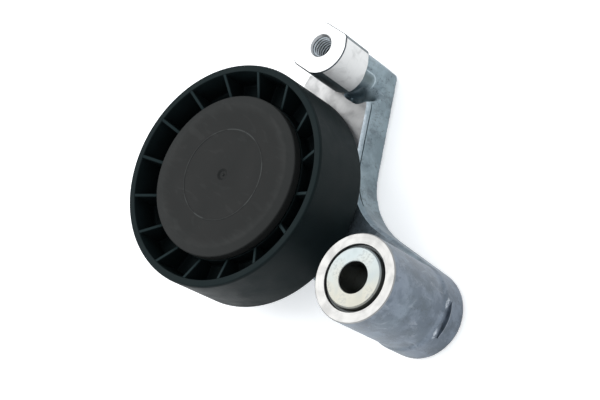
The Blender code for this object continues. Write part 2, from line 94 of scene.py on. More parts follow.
def rounded(corners, steps=4, closed=True):
    """Replace each corner (radius, height, rounding) by an arc of that rounding."""
    points = []
    count = len(corners)
    for i, (r, z, rounding) in enumerate(corners):
        if rounding <= 0 or (not closed and i in (0, count - 1)):
            points.append((r, z))
            continue
        here = np.array((r, z), float)
        before = np.array(corners[i - 1][:2], float) - here
        after = np.array(corners[(i + 1) % count][:2], float) - here
        before /= np.linalg.norm(before)
        after /= np.linalg.norm(after)
        half = math.acos(float(np.clip(before @ after, -1, 1))) / 2
        if half > math.pi / 2 - 0.02:
            points.append((r, z))
            continue
        middle = here + (before + after) / np.linalg.norm(before + after) * rounding / math.sin(half)
        first = here + before * rounding / math.tan(half) - middle
        last = here + after * rounding / math.tan(half) - middle
        start = math.atan2(first[1], first[0])
        sweep = (math.atan2(last[1], last[0]) - start + math.pi) % TAU - math.pi
        points += arc(middle, rounding, start, start + sweep, steps)
    return points


def grid_faces(rows, columns, wrap_rows, wrap_columns):
    """Quads over a grid of rows and columns of points."""
    faces = []
    for i in range(rows if wrap_rows else rows - 1):
        for j in range(columns if wrap_columns else columns - 1):
            ii = (i + 1) % rows
            jj = (j + 1) % columns
            faces.append((i * columns + j, ii * columns + j, ii * columns + jj, i * columns + jj))
    return faces


def lathe(profile, axis=(0.0, 0.0), steps=LATHE_STEPS, closed=True):
    """Turn a (radius, height) profile round a vertical axis; an open one starts and ends on the axis."""
    angles = np.linspace(0, TAU, steps, endpoint=False)
    r = np.array([p[0] for p in profile])
    z = np.array([p[1] for p in profile])
    x = axis[0] + np.outer(r, np.cos(angles))
    y = axis[1] + np.outer(r, np.sin(angles))
    points = np.stack([x, y, np.repeat(z[:, None], steps, axis=1)], axis=-1).reshape(-1, 3)
    return to_bmesh(points, grid_faces(len(profile), steps, closed, True), weld=not closed)


def to_bmesh(points, faces, weld=False):
    mesh = bpy.data.meshes.new("making")
    mesh.from_pydata(points.tolist() if hasattr(points, "tolist") else points, [], faces)
    bm = bmesh.new()
    bm.from_mesh(mesh)
    bpy.data.meshes.remove(mesh)
    if weld:
        bmesh.ops.remove_doubles(bm, verts=bm.verts, dist=1e-4)
        bmesh.ops.dissolve_degenerate(bm, edges=bm.edges, dist=1e-4)
    bmesh.ops.recalc_face_normals(bm, faces=bm.faces)
    return bm


def tapered(bottom, top, low, high):
    """A closed prism between two plan outlines with the same number of points."""
    count = len(bottom)
    points = [(x, y, low) for x, y in bottom] + [(x, y, high) for x, y in top]
    faces = [tuple(range(count)), tuple(range(count, 2 * count))]
    faces += [(i, (i + 1) % count, (i + 1) % count + count, i + count) for i in range(count)]
    return to_bmesh(points, faces)


def thread(axis, minor, major, pitch, low, high, steps=64):
    """A closed screw-threaded rod: its rows follow the helix, so that the crests stay sharp."""
    shape = ((0.0, minor), (0.12, minor), (0.44, major), (0.56, major), (0.88, minor))
    per_turn = len(shape)
    rows = int((high - low) / pitch) * per_turn
    points = []
    for k in range(rows + 1):
        turn, place = divmod(k, per_turn)
        offset, radius = shape[place]
        for i in range(steps):
            z = low + (turn + offset + i / steps) * pitch
            points.append((*polar(axis, radius, TAU * i / steps), z))
    faces = []
    for k in range(rows):
        for i in range(steps - 1):
            a = k * steps + i
            faces.append((a, a + 1, a + steps + 1, a + steps))
        if k + per_turn + 1 <= rows:
            last = k * steps + steps - 1
            over = (k + per_turn) * steps
            faces.append((last, over, over + steps, last + steps))
    rims = (thread_rim(0, per_turn, steps), thread_rim(rows - per_turn, per_turn, steps, top=True))
    for rim, z in zip(rims, (low, points[rows * steps][2])):
        faces += [(rim[i], rim[(i + 1) % len(rim)], len(points)) for i in range(len(rim))]
        points.append((*axis, z))
    return to_bmesh(points, faces)


def thread_rim(row, per_turn, steps, top=False):
    """The open edge at one end of a thread, in order."""
    if not top:
        rim = [row * steps + i for i in range(steps)]
        return rim + [(row + k) * steps for k in range(per_turn, 0, -1)]
    last = (row + per_turn) * steps
    rim = [last + i for i in range(steps)]
    return rim + [(row + k) * steps + steps - 1 for k in range(per_turn - 1, -1, -1)]


def scratch(name, bm, material=None):
    """A temporary object in metres, for modifiers."""
    mesh = bpy.data.meshes.new(name)
    bm.to_mesh(mesh)
    bm.free()
    mesh.transform(Matrix.Scale(MM, 4))
    if material:
        mesh.materials.append(material)
    result = bpy.data.objects.new(name, mesh)
    bpy.context.scene.collection.objects.link(result)
    return result


def slab(name, outline, low, high, material):
    """A temporary prism on a plan outline."""
    return scratch(name, tapered(outline, outline, low, high), material)


def settle(target):
    """Apply every modifier of a temporary object."""
    graph = bpy.context.evaluated_depsgraph_get()
    mesh = bpy.data.meshes.new_from_object(target.evaluated_get(graph))
    target.modifiers.clear()
    old = target.data
    target.data = mesh
    bpy.data.meshes.remove(old)


def combine(target, other, operation):
    """Join or cut with another temporary object, and drop it."""
    modifier = target.modifiers.new("combine", "BOOLEAN")
    modifier.operation = operation
    modifier.solver = "MANIFOLD"
    modifier.material_mode = "TRANSFER"
    modifier.object = other
    settle(target)
    bpy.data.objects.remove(other, do_unlink=True)


def join(target, other):
    combine(target, other, "UNION")


def cut(target, other):
    combine(target, other, "DIFFERENCE")


def keep_inside(target, other):
    combine(target, other, "INTERSECT")


def turned(name, profile, axis, material, steps=SMALL_STEPS):
    """A temporary turned solid, whose profile starts and ends on the axis."""
    return scratch(name, lathe(profile, axis, steps, closed=False), material)


def dress(target, name, body, nodes):
    """Name a piece, shade it, and tie it to the frame."""
    target.name = name
    target.data.name = name
    target.data.shade_smooth()
    target.data.set_sharp_from_angle(angle=SHARP_ANGLE)
    modifier = target.modifiers.new("weighted", "WEIGHTED_NORMAL")
    modifier.keep_sharp = True
    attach(target, body)
    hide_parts(*nodes)


def piece(name, bm, material, body, nodes):
    dress(scratch(name, bm, material), name, body, nodes)


def ring_piece(name, corners, axis, material, body, nodes):
    """A piece turned from a closed section of (radius, height, rounding) corners."""
    piece(name, lathe(rounded(corners, 3), axis, SMALL_STEPS), material, body, nodes)


# ---------------------------------------------------------------- materials

def new_material(name):
    """A material and its node tree; the helpers below build in the tree of the socket they are given."""
    material = bpy.data.materials.new(name)
    material.use_nodes = True
    return material, material.node_tree


def finished(material, colour, roughness, normal=None, **constants):
    """The material, with a colour, a roughness, a normal and constants given by name put on its shader."""
    shader = material.node_tree.nodes["Principled BSDF"]
    for name, value in (("Base Color", colour), ("Roughness", roughness), ("Normal", normal)):
        feed(shader.inputs[name], value)
    for name, value in constants.items():
        shader.inputs[name.replace("_", " ")].default_value = value
    return material


def feed(socket, value):
    """Link a socket or set its value; None leaves it alone."""
    if isinstance(value, bpy.types.NodeSocket):
        socket.id_data.links.new(value, socket)
    elif value is not None:
        socket.default_value = value


def node(tree, kind, settings=None, **inputs):
    """Add a shader node; inputs go by name, or by number as _0, and settings are its own properties."""
    made = tree.nodes.new(kind)
    for key, value in (settings or {}).items():
        setattr(made, key, value)
    for key, value in inputs.items():
        feed(made.inputs[int(key[1:]) if key[0] == "_" else key], value)
    return made


def row_point(tree, stretch=(1, 1, 1), shift=(0, 0, 0)):
    """The point on the surface in the row frame, in millimetres."""
    place = node(tree, "ShaderNodeTexCoord").outputs["Object"]
    scale = tuple(s / MM for s in stretch)
    return node(tree, "ShaderNodeMapping", Vector=place, Scale=scale, Location=shift).outputs[0]


def parts_of(vector):
    """A vector's X, Y and Z."""
    return node(vector.id_data, "ShaderNodeSeparateXYZ", Vector=vector).outputs


def axis_distance(tree, centre):
    """How far the surface is from a vertical axis, in millimetres."""
    flat = row_point(tree, (1, 1, 0), (-centre[0], -centre[1], 0))
    return node(tree, "ShaderNodeVectorMath", {"operation": "LENGTH"}, _0=flat).outputs["Value"]


def speckle(point, size, detail=3.0, roughness=0.55, distortion=0.0):
    """Noise from about 0 to 1 with grains of about the given size in millimetres."""
    return node(point.id_data, "ShaderNodeTexNoise", Vector=point, Scale=1.0 / size, Detail=detail,
                Roughness=roughness, Distortion=distortion).outputs["Fac"]


def ramp(value, low, high, start=0.0, end=1.0):
    """A number that goes from start to end as value goes from low to high."""
    return node(value.id_data, "ShaderNodeMapRange", {"interpolation_type": "SMOOTHSTEP"},
                Value=value, _1=low, _2=high, _3=start, _4=end).outputs[0]


def maths(operation, a, b=0.0):
    """A sum on two numbers, at least one of which varies over the surface."""
    tree = (a if isinstance(a, bpy.types.NodeSocket) else b).id_data
    return node(tree, "ShaderNodeMath", {"operation": operation}, _0=a, _1=b).outputs[0]


def times(first, *others):
    for other in others:
        first = maths("MULTIPLY", first, other)
    return first


def plus(a, b):
    return maths("ADD", a, b)


def minus(a, b):
    return maths("SUBTRACT", a, b)


def mix(factor, first, second):
    """Mix two colours, given as triples or sockets."""
    made = node(factor.id_data, "ShaderNodeMix", {"data_type": "RGBA"}, _0=factor)
    for index, colour in ((6, first), (7, second)):
        feed(made.inputs[index], (*colour, 1.0) if isinstance(colour, tuple) else colour)
    return made.outputs[2]


def tinted(colour, factor):
    return tuple(factor * c for c in colour)


def bump(height, depth, before=None):
    """A bump of the given depth in millimetres."""
    return node(height.id_data, "ShaderNodeBump", Height=height, Distance=depth * MM, Strength=1.0,
                Normal=before).outputs[0]


def ring_marks(tree, centre, pitch):
    """Fine uneven turning marks round a vertical axis."""
    height = parts_of(row_point(tree))["Z"]
    steps = times(plus(axis_distance(tree, centre), height), 1.0 / pitch)
    made = node(tree, "ShaderNodeTexNoise", {"noise_dimensions": "1D"}, W=steps, Scale=1.0, Detail=2.0)
    return made.outputs["Fac"]


def cast_aluminium():
    """As-cast skin: mottled blue grey with painted shade that darkens it towards low Y, darker stains, a fine
    grain, bright wear on its edges, painted shade and a highlight line at the strut boss's hollow, and
    painted highlights on the arm's ledge and at the pivot boss's notch.
    """
    material, tree = new_material("cast_aluminium")
    point = row_point(tree)
    place = parts_of(point)
    # painted shade: darker at low Y, over the pivot barrel, and lighter up the arm; the noise in it is random
    # mottling
    drift = plus(speckle(point, 26.0, 2.0), times(place["Y"], -0.012))
    mottle_and_painted_shade = ramp(drift, 0.0, 0.65)
    clouds = speckle(point, 8.0, 6.0, 0.62, 0.2)
    stains = speckle(row_point(tree, (1, 1, 0.6), (31.0, 7.0, 3.0)), 5.0, 6.0, 0.7, 0.15)
    specks = speckle(point, 0.8, 4.0, 0.8)
    grain = speckle(point, 0.45, 3.0, 0.7)
    flow = speckle(row_point(tree, (1.0, 1.0, 0.5)), 3.5, 5.0, 0.6, 0.6)
    dark_skin = mix(mottle_and_painted_shade, (0.168, 0.215, 0.238), (0.100, 0.122, 0.150))
    pale_skin = mix(mottle_and_painted_shade, (0.240, 0.298, 0.325), (0.162, 0.191, 0.230))
    colour = mix(ramp(clouds, 0.40, 0.60), dark_skin, pale_skin)
    soft_stain = ramp(stains, 0.48, 0.64, 0.0, 0.48)
    specked_stain = times(ramp(stains, 0.44, 0.54), ramp(specks, 0.55, 0.62, 0.0, 0.85))
    colour = mix(maths("MAXIMUM", soft_stain, specked_stain), colour, (0.075, 0.090, 0.102))
    colour = mix(ramp(flow, 0.56, 0.74, 0.0, 0.30), colour, (0.38, 0.41, 0.45))
    # painted shade inside the hollow at the strut boss's foot, and a painted highlight line along its border
    inside, border = hollow_skin(place)
    colour = mix(inside, colour, (0.100, 0.122, 0.118))
    border = times(border, ramp(specks, 0.36, 0.56, 0.25, 1.0))
    colour = mix(border, colour, (0.58, 0.66, 0.70))
    # painted highlight on the ledge along the arm's front edge
    ledge_highlight = times(painted_ledge_highlight(place, stains), ramp(specks, 0.38, 0.56, 0.6, 1.0))
    colour = mix(ledge_highlight, colour, (0.58, 0.64, 0.68))
    # painted highlight at the two ends of the pivot boss's crescent
    colour = mix(notch_end_highlights(tree, point, specks), colour, (0.62, 0.66, 0.70))
    edge = node(tree, "ShaderNodeNewGeometry").outputs["Pointiness"]
    colour = mix(ramp(edge, 0.53, 0.60, 0.0, 0.75), colour, (0.80, 0.82, 0.84))
    skin = bump(specks, 0.03, bump(grain, 0.03))
    return finished(material, colour, ramp(clouds, 0.3, 0.8, 0.40, 0.56), skin, Metallic=0.9)


def hollow_skin(place):
    """Painted shade inside the hollow at the strut boss's foot, and a painted highlight line along its
    border, seen on the arm's side.
    """
    corner_along = 26.9
    corner_z = 13.8
    corner_r = 3.0
    along = times(minus(place["X"], ARM_EDGE[0]), 1 / math.cos(ARM_TILT))
    run = maths("MAXIMUM", minus(along, corner_along), 0.0)
    drop = maths("MAXIMUM", minus(corner_z, place["Z"]), 0.0)
    squares = plus(times(run, run), times(drop, drop))
    away = minus(maths("SQRT", squares), corner_r)
    slope = math.tan(ARM_TILT)
    edge_y = plus(times(place["X"], slope), ARM_EDGE[1] - ARM_EDGE[0] * slope)
    depth = minus(place["Y"], edge_y)
    near = times(ramp(depth, 2.0, 5.0, 1.0, 0.0), ramp(along, 19.5, 24.5))
    # painted shade over the hollow's inside
    inside = times(near, ramp(away, -2.2, 0.2, 0.75, 0.0))
    on_side = times(near, ramp(depth, 3.5, 5.5, 1.0, 0.0))
    faint = times(on_side, ramp(place["Z"], 17.0, 19.0, 0.62, 0.0))
    # painted highlight along the hollow's border
    line = ramp(maths("ABSOLUTE", away), 0.08, 0.36, 1.0, 0.0)
    return inside, times(faint, line)


def painted_ledge_highlight(place, patches):
    """Painted highlight on the ledge along the arm's front edge, strongest at its front corner and broken
    into streaks.
    """
    ledge_z = PARTING_Z + 0.3
    rise = ramp(place["Z"], ledge_z, PLATE_Z - 0.3, 0.15, 1.0)
    top = ramp(place["Z"], PLATE_Z - 0.1, PLATE_Z + 0.4, 1.0, 0.0)
    foot = ramp(place["Z"], ledge_z - 0.15, ledge_z)
    along = times(ramp(place["Y"], 40.0, 50.0), ramp(place["X"], 49.0, 52.5, 1.0, 0.0))
    streaked = times(ramp(patches, 0.38, 0.60, 0.55, 1.0), ramp(place["X"], 26.0, 30.0))
    return times(rise, top, foot, along, streaked)


def notch_end_highlights(tree, point, specks):
    """Painted highlight where the crescent in the pivot boss runs out at its two ends."""
    flat = 0.5
    squeeze = (flat, flat, 1.0)
    squeezed = node(tree, "ShaderNodeVectorMath", {"operation": "MULTIPLY"}, _0=point, _1=squeeze).outputs[0]
    spots = []
    for angle in (NOTCH_ANGLES[0] + 0.09, NOTCH_ANGLES[1] - 0.09):
        end = (*polar(PIVOT, flat * COLLAR_R, angle), NOTCH_MIDDLE_Z + 0.3)
        away = node(tree, "ShaderNodeVectorMath", {"operation": "DISTANCE"}, _0=squeezed, _1=end)
        spots.append(ramp(away.outputs["Value"], 0.4, 1.25, 0.75, 0.0))
    return times(maths("MAXIMUM", *spots), ramp(specks, 0.42, 0.58, 0.1, 1.0))


def machined_aluminium(name, centre, pitch=0.28, tone=(0.40, 0.405, 0.41), roughness=0.34, metallic=1.0,
                       rings=0.22, stain=0.26):
    """A freshly turned face: near white, with rings round its axis and a few soft stains."""
    material, tree = new_material(name)
    marks = ring_marks(tree, centre, pitch)
    stains = speckle(row_point(tree), 5.0, 4.0, 0.6, 0.6)
    colour = mix(ramp(stains, 0.46, 0.70), tone, tinted(tone, 1 - stain))
    colour = mix(ramp(marks, 0.35, 0.65, 0.0, rings), colour, tinted(tone, 0.62))
    rough = ramp(stains, 0.3, 0.7, roughness - 0.05, roughness + 0.05)
    return finished(material, colour, rough, bump(marks, 0.055 * rings), Metallic=metallic)


def cut_thread(name, centre, core_r, groove_r):
    """Cut threads: crests painted bright as a highlight, with patches of oil, and grooves painted dark as
    shade.
    """
    material, tree = new_material(name)
    oil = speckle(row_point(tree), 1.2, 4.0, 0.6)
    crest = mix(ramp(oil, 0.4, 0.7), (0.66, 0.72, 0.76), (0.42, 0.47, 0.51))
    in_groove = ramp(axis_distance(tree, centre), core_r + 0.1, groove_r - 0.15)
    # painted shade in the grooves
    colour = mix(in_groove, crest, (0.035, 0.045, 0.052))
    rough = ramp(oil, 0.3, 0.7, 0.24, 0.36)
    return finished(material, colour, rough, bump(oil, 0.006), Metallic=0.9)


def zinc_plate(name, centre):
    """Zinc on turned steel, passivated from pale blue to faint straw yellow."""
    material, tree = new_material(name)
    point = row_point(tree)
    place = parts_of(point)
    clouds = speckle(point, 9.0, 3.0, 0.5, 0.5)
    wave = plus(times(place["X"], 0.035), clouds)
    wave = plus(times(minus(place["Y"], centre[1]), 0.025), wave)
    colour = mix(ramp(wave, 0.2, 0.85), (0.285, 0.28, 0.245), (0.27, 0.302, 0.308))
    fine = speckle(point, 0.8, 4.0, 0.7)
    smudges = times(ramp(clouds, 0.55, 0.40), ramp(fine, 0.46, 0.60, 0.15, 0.7))
    colour = mix(smudges, colour, (0.17, 0.18, 0.18))
    surface = bump(fine, 0.012, bump(ring_marks(tree, centre, 0.22), 0.008))
    return finished(material, colour, ramp(clouds, 0.3, 0.7, 0.28, 0.42), surface, Metallic=1.0)


def black_nylon(name, tone, specular, flow_centre=None, rib_centre=None):
    """Glass-filled nylon: nearly black, softly glossy, with a fine moulded grain."""
    material, tree = new_material(name)
    point = row_point(tree)
    clouds = speckle(point, 11.0, 3.0, 0.55, 0.6)
    colour = mix(ramp(clouds, 0.35, 0.65), tone, tinted(tone, 1.28))
    dust = speckle(point, 0.9, 5.0, 0.8)
    colour = mix(ramp(dust, 0.66, 0.76, 0.0, 0.35), colour, tinted(tone, 2.6))
    surface = bump(speckle(point, 0.35, 3.0, 0.75), 0.02)
    constants = {"Specular IOR Level": specular}
    if flow_centre:
        colour = cap_marks(tree, colour, tone, clouds, flow_centre)
    if rib_centre:
        lines = speckle(row_point(tree, (0.0, 0.0, 1.0)), 0.4, 2.0, 0.5)
        surface = bump(lines, 0.01, surface)
        # painted highlight on the ribs' front edges
        colour = mix(rib_top_highlights(tree, rib_centre), colour, tinted(tone, 3.6))
        constants["Specular Tint"] = (0.80, 1.0, 1.0, 1.0)
    return finished(material, colour, ramp(clouds, 0.3, 0.7, 0.46, 0.60), surface, **constants)


def cap_marks(tree, colour, tone, clouds, centre):
    """Flow streaks from the gate, a broken pale ring line painted on as the bead's highlight, and a border
    that grows paler towards the rim.
    """
    drawn = 0.35
    streaks = row_point(tree, (1.0, drawn, 1.0), (-centre[0], -drawn * centre[1], 0))
    flow = speckle(streaks, 4.5, 2.0, 0.4, 2.5)
    colour = mix(ramp(flow, 0.60, 0.70, 0.0, 0.45), colour, tinted(tone, 1.7))
    radius = axis_distance(tree, centre)
    # painted highlight on the lit side of the ring bead, broken up
    off_ring = maths("ABSOLUTE", minus(radius, CAP_RING_R))
    broken = ramp(clouds, 0.42, 0.55, 0.25, 1.0)
    line = times(ramp(off_ring, 0.08, 0.38, 1.0, 0.0), broken)
    colour = mix(line, colour, tinted(tone, 4.0))
    border = ramp(plus(radius, times(flow, 5.0)), 24.5, 29.5, 0.0, 0.75)
    return mix(border, colour, tinted(tone, 2.1))


def rib_top_highlights(tree, centre):
    """Painted highlight on the narrow front edges of the ribs."""
    radius = axis_distance(tree, centre)
    height = parts_of(row_point(tree))["Z"]
    facing = parts_of(node(tree, "ShaderNodeNewGeometry").outputs["Normal"])["Z"]
    ribs = times(ramp(radius, BARREL_R, BARREL_R + 0.3),
                 ramp(radius, RIM_INNER_R + 0.2, RIM_INNER_R - 0.1, 0.25, 1.0))
    tops = times(ramp(height, 35.5, 36.5), ramp(facing, 0.6, 0.9))
    return times(ribs, tops)


def bearing_steel(name):
    """Ground bearing steel with fine grinding marks round the hub axis."""
    material, tree = new_material(name)
    clouds = speckle(row_point(tree), 5.0, 3.0)
    colour = mix(clouds, (0.44, 0.44, 0.43), (0.52, 0.52, 0.52))
    marks = bump(ring_marks(tree, HUB, 0.12), 0.003)
    return finished(material, colour, ramp(clouds, 0.3, 0.7, 0.14, 0.22), marks, Metallic=1.0)


def polished_ball():
    material, tree = new_material("polished_ball")
    film = speckle(row_point(tree), 1.6, 4.0, 0.6)
    colour = mix(film, (0.60, 0.60, 0.60), (0.70, 0.70, 0.71))
    return finished(material, colour, ramp(film, 0.4, 0.7, 0.05, 0.12), Metallic=1.0)


def rubber(name, clean, dusty):
    """Matt seal rubber with dust on it."""
    material, tree = new_material(name)
    dust = speckle(row_point(tree), 2.0, 5.0, 0.7)
    colour = mix(ramp(dust, 0.5, 0.8), clean, dusty)
    grain = bump(speckle(row_point(tree), 0.3, 3.0, 0.7), 0.02)
    return finished(material, colour, ramp(dust, 0.3, 0.7, 0.6, 0.8), grain)


def polymer(name, dark, light):
    """A moulded polymer with visible fibre flow."""
    material, tree = new_material(name)
    fibres = speckle(row_point(tree, (1.0, 1.0, 0.3)), 0.7, 4.0, 0.7, 0.8)
    colour = mix(ramp(fibres, 0.35, 0.65), dark, light)
    return finished(material, colour, ramp(fibres, 0.3, 0.7, 0.42, 0.58), bump(fibres, 0.015))


def pressed_steel():
    material, tree = new_material("pressed_steel")
    clouds = speckle(row_point(tree), 4.0, 4.0, 0.6)
    scratches = speckle(row_point(tree, (1.0, 0.06, 1.0)), 0.3, 3.0, 0.6)
    colour = mix(clouds, (0.46, 0.46, 0.45), (0.60, 0.60, 0.58))
    colour = mix(ramp(scratches, 0.6, 0.75, 0.0, 0.4), colour, (0.34, 0.34, 0.34))
    rough = ramp(clouds, 0.3, 0.7, 0.30, 0.45)
    return finished(material, colour, rough, bump(scratches, 0.006), Metallic=1.0)


# ---------------------------------------------------------------- pulley

RIB_COUNT = 16
RIB_STEP = TAU / RIB_COUNT
RIB_PHASE = math.radians(18.75)
RIB_HALF = 0.60
RIB_FOOT = RIB_HALF + 0.62
RIB_EDGE = 0.16
POCKET_STEPS = 9
BARREL_R = 29.2
RIB_ROOT_R = BARREL_R - 0.02
BARREL_FRONT_Z = 36.6
BARREL_REAR_Z = 17.4
RIM_INNER_R = 37.4
RIB_INNER_FRONT_Z = 37.2
RIB_INNER_REAR_Z = 21.2
PULLEY_R = 40.0
LIP_R = 21.9
BORE_R = 23.8
CAP_RING_R = 16.3
CAP_STEPS = 192


def rib_limit(r, side):
    """How far the ribs reach at a radius, on the front side (1) or the rear one (-1)."""
    if side > 0:
        return rib_line(r, BARREL_FRONT_Z, RIB_INNER_FRONT_Z, PULLEY_BOX[1][2])
    return -rib_line(r, -BARREL_REAR_Z, -RIB_INNER_REAR_Z, -PULLEY_BOX[0][2])


def rib_line(r, barrel_z, inner_z, rim_z):
    """The ribs' free edge: a short curve out of the barrel, then straight to the rim."""
    start = BARREL_R + 0.35
    if r <= RIB_ROOT_R:
        return barrel_z
    if r < start:
        low = min(barrel_z - 0.3, inner_z)
        return low + (inner_z - low) * math.sin((r - RIB_ROOT_R) / (start - RIB_ROOT_R) * math.pi / 2)
    along = min(1.0, (r - start) / (RIM_INNER_R - start))
    return inner_z + (rim_z - 0.05 - inner_z) * along


def pulley_profile():
    """The pocket's section as a closed loop of (radius, height, side), side telling where ribs may stand."""
    front_z = PULLEY_BOX[1][2]
    rear_z = PULLEY_BOX[0][2]
    middle = (front_z + rear_z) / 2
    web = 2.0
    lip_front = node_box("bearing_outer_ring")[1][2] + 0.3
    lip_rear = node_box("bearing_outer_ring")[0][2] - 0.3
    bevel = 0.9
    fillet_r = 0.9
    front = [(BORE_R, BARREL_FRONT_Z, 0.35), (BARREL_R, BARREL_FRONT_Z, 0.3),
             (BARREL_R + 0.15, middle + web, fillet_r), (RIM_INNER_R - 0.45, middle + web, fillet_r),
             (RIM_INNER_R, front_z, 0.35), (PULLEY_R - 0.35, front_z, 0.5), (PULLEY_R, front_z - bevel, 0.6)]
    rear = [(PULLEY_R, rear_z + bevel, 0.6), (PULLEY_R - 0.35, rear_z, 0.5), (RIM_INNER_R, rear_z, 0.35),
            (RIM_INNER_R - 0.45, middle - web, fillet_r), (BARREL_R + 0.15, middle - web, fillet_r),
            (BARREL_R, BARREL_REAR_Z, 0.3), (LIP_R, BARREL_REAR_Z, 0.3)]
    bore = [(LIP_R, lip_rear, 0.1), (BORE_R, lip_rear, 0.0), (BORE_R, lip_front, 0.0),
            (LIP_R, lip_front, 0.15), (LIP_R + 0.1, lip_front + 1.2, 0.4), (BORE_R, lip_front + 1.5, 0.0)]
    loop = spread(rounded(front + rear + bore, 4), 1.2)
    return [(r, z, 1 if z > middle else -1) for r, z in loop]


def spread(points, longest):
    """Add points along the long sides of a closed profile."""
    result = []
    for i, here in enumerate(points):
        after = points[(i + 1) % len(points)]
        count = max(1, math.ceil(math.dist(here, after) / longest))
        for k in range(count):
            result.append(tuple(h + (a - h) * k / count for h, a in zip(here, after)))
    return result


def pulley_columns():
    """Columns over one rib and one pocket: (angle, distance from the rib's middle, share, rise, side)."""
    flank = [(0.0, "top"), (RIB_HALF - RIB_EDGE, "top"), (RIB_HALF, "edge"), (RIB_HALF + 0.12, 0.55),
             (RIB_HALF + 0.25, 0.18), (RIB_FOOT, 0.0)]
    columns = []
    for k in range(RIB_COUNT):
        centre = RIB_PHASE + k * RIB_STEP
        columns += [(centre, d, 0.0, rise, 1) for d, rise in flank]
        columns += [(centre, RIB_FOOT, share / POCKET_STEPS, 0.0, 1) for share in range(1, POCKET_STEPS)]
        columns += [(centre + RIB_STEP, d, 0.0, rise, -1) for d, rise in reversed(flank[1:])]
    return columns


def pulley_point(r, z, side, rise):
    """Lift a point of the pocket's section to where the rib has it."""
    if not RIB_ROOT_R < r < RIM_INNER_R or rise == 0.0:
        return z
    limit = rib_limit(r, side)
    if (limit - z) * side <= 0:
        return z
    if rise == "top":
        return limit
    if rise == "edge":
        return limit - side * min(RIB_EDGE, (limit - z) * side)
    return z + side * min(rise, (limit - z) * side)


def make_pulley():
    loop = pulley_profile()
    columns = pulley_columns()
    points = []
    for centre, d, share, rise, way in columns:
        for r, z, side in loop:
            angle = math.asin(d / r)
            if share:
                angle += share * (RIB_STEP - 2 * angle)
            points.append((*polar(HUB, r, centre + way * angle), pulley_point(r, z, side, rise)))
    bm = to_bmesh(np.array(points), grid_faces(len(columns), len(loop), True, True), weld=True)
    nylon = black_nylon("pulley_nylon", (0.0042, 0.0068, 0.0073), 0.062, rib_centre=HUB)
    piece("pulley_moulding", bm, nylon, "pulley", ["pulley_body"])


def make_cap():
    """A disc with a soft bevel, a fine ring line, a gate dimple and a snap skirt under it."""
    low, high = node_box("dust_cap")
    r = high[0]
    top = high[2]
    face = top - 0.12
    inside = top - 1.5
    skirt = low[2]
    ledge = skirt + 0.35
    skirt_r = 22.0
    catch_r = 23.2
    dimple = face - 0.55
    corners = [(0, inside, 0), (skirt_r, inside, 0.5), (skirt_r, skirt, 0.2), (catch_r - 0.3, skirt, 0.2),
               (catch_r, skirt + 0.25, 0.1), (catch_r, ledge, 0.05), (r - 0.3, ledge, 0.15),
               (r, skirt + 0.7, 0.2), (r, top - 1.0, 0.6), (25.8, face, 4.0),
               (CAP_RING_R + 0.32, face, 0.15), (CAP_RING_R + 0.1, top, 0.08), (CAP_RING_R - 0.1, top, 0.08),
               (CAP_RING_R - 0.32, face - 0.02, 0.15), (2.1, face - 0.02, 0.4), (1.35, dimple, 0.3),
               (0.5, dimple, 0.1), (0.35, face - 0.25, 0.08), (0, face - 0.25, 0)]
    bm = lathe(rounded(corners, 4, closed=False), HUB, CAP_STEPS, closed=False)
    nylon = black_nylon("cap_nylon", (0.0112, 0.0118, 0.0114), 0.105, flow_centre=HUB)
    piece("dust_cap_moulding", bm, nylon, "pulley", ["dust_cap"])


# ---------------------------------------------------------------- bearing and hub

PITCH_R = 16.0
BALL_COUNT = 7
BALL_R = 4.2
RACE_R = 4.5
BEARING_BORE_R = 8.5
INNER_SHOULDER_R = 12.2
OUTER_SHOULDER_R = 19.6
SEAL_SEAT_R = 20.7


def groove(side, shoulder, middle):
    """The raceway's arc, from its rear edge to its front."""
    half = math.acos(abs(shoulder - PITCH_R) / RACE_R)
    angles = np.linspace(-half, half, 17)
    return [(PITCH_R + side * RACE_R * math.cos(a), middle + RACE_R * math.sin(a)) for a in angles]


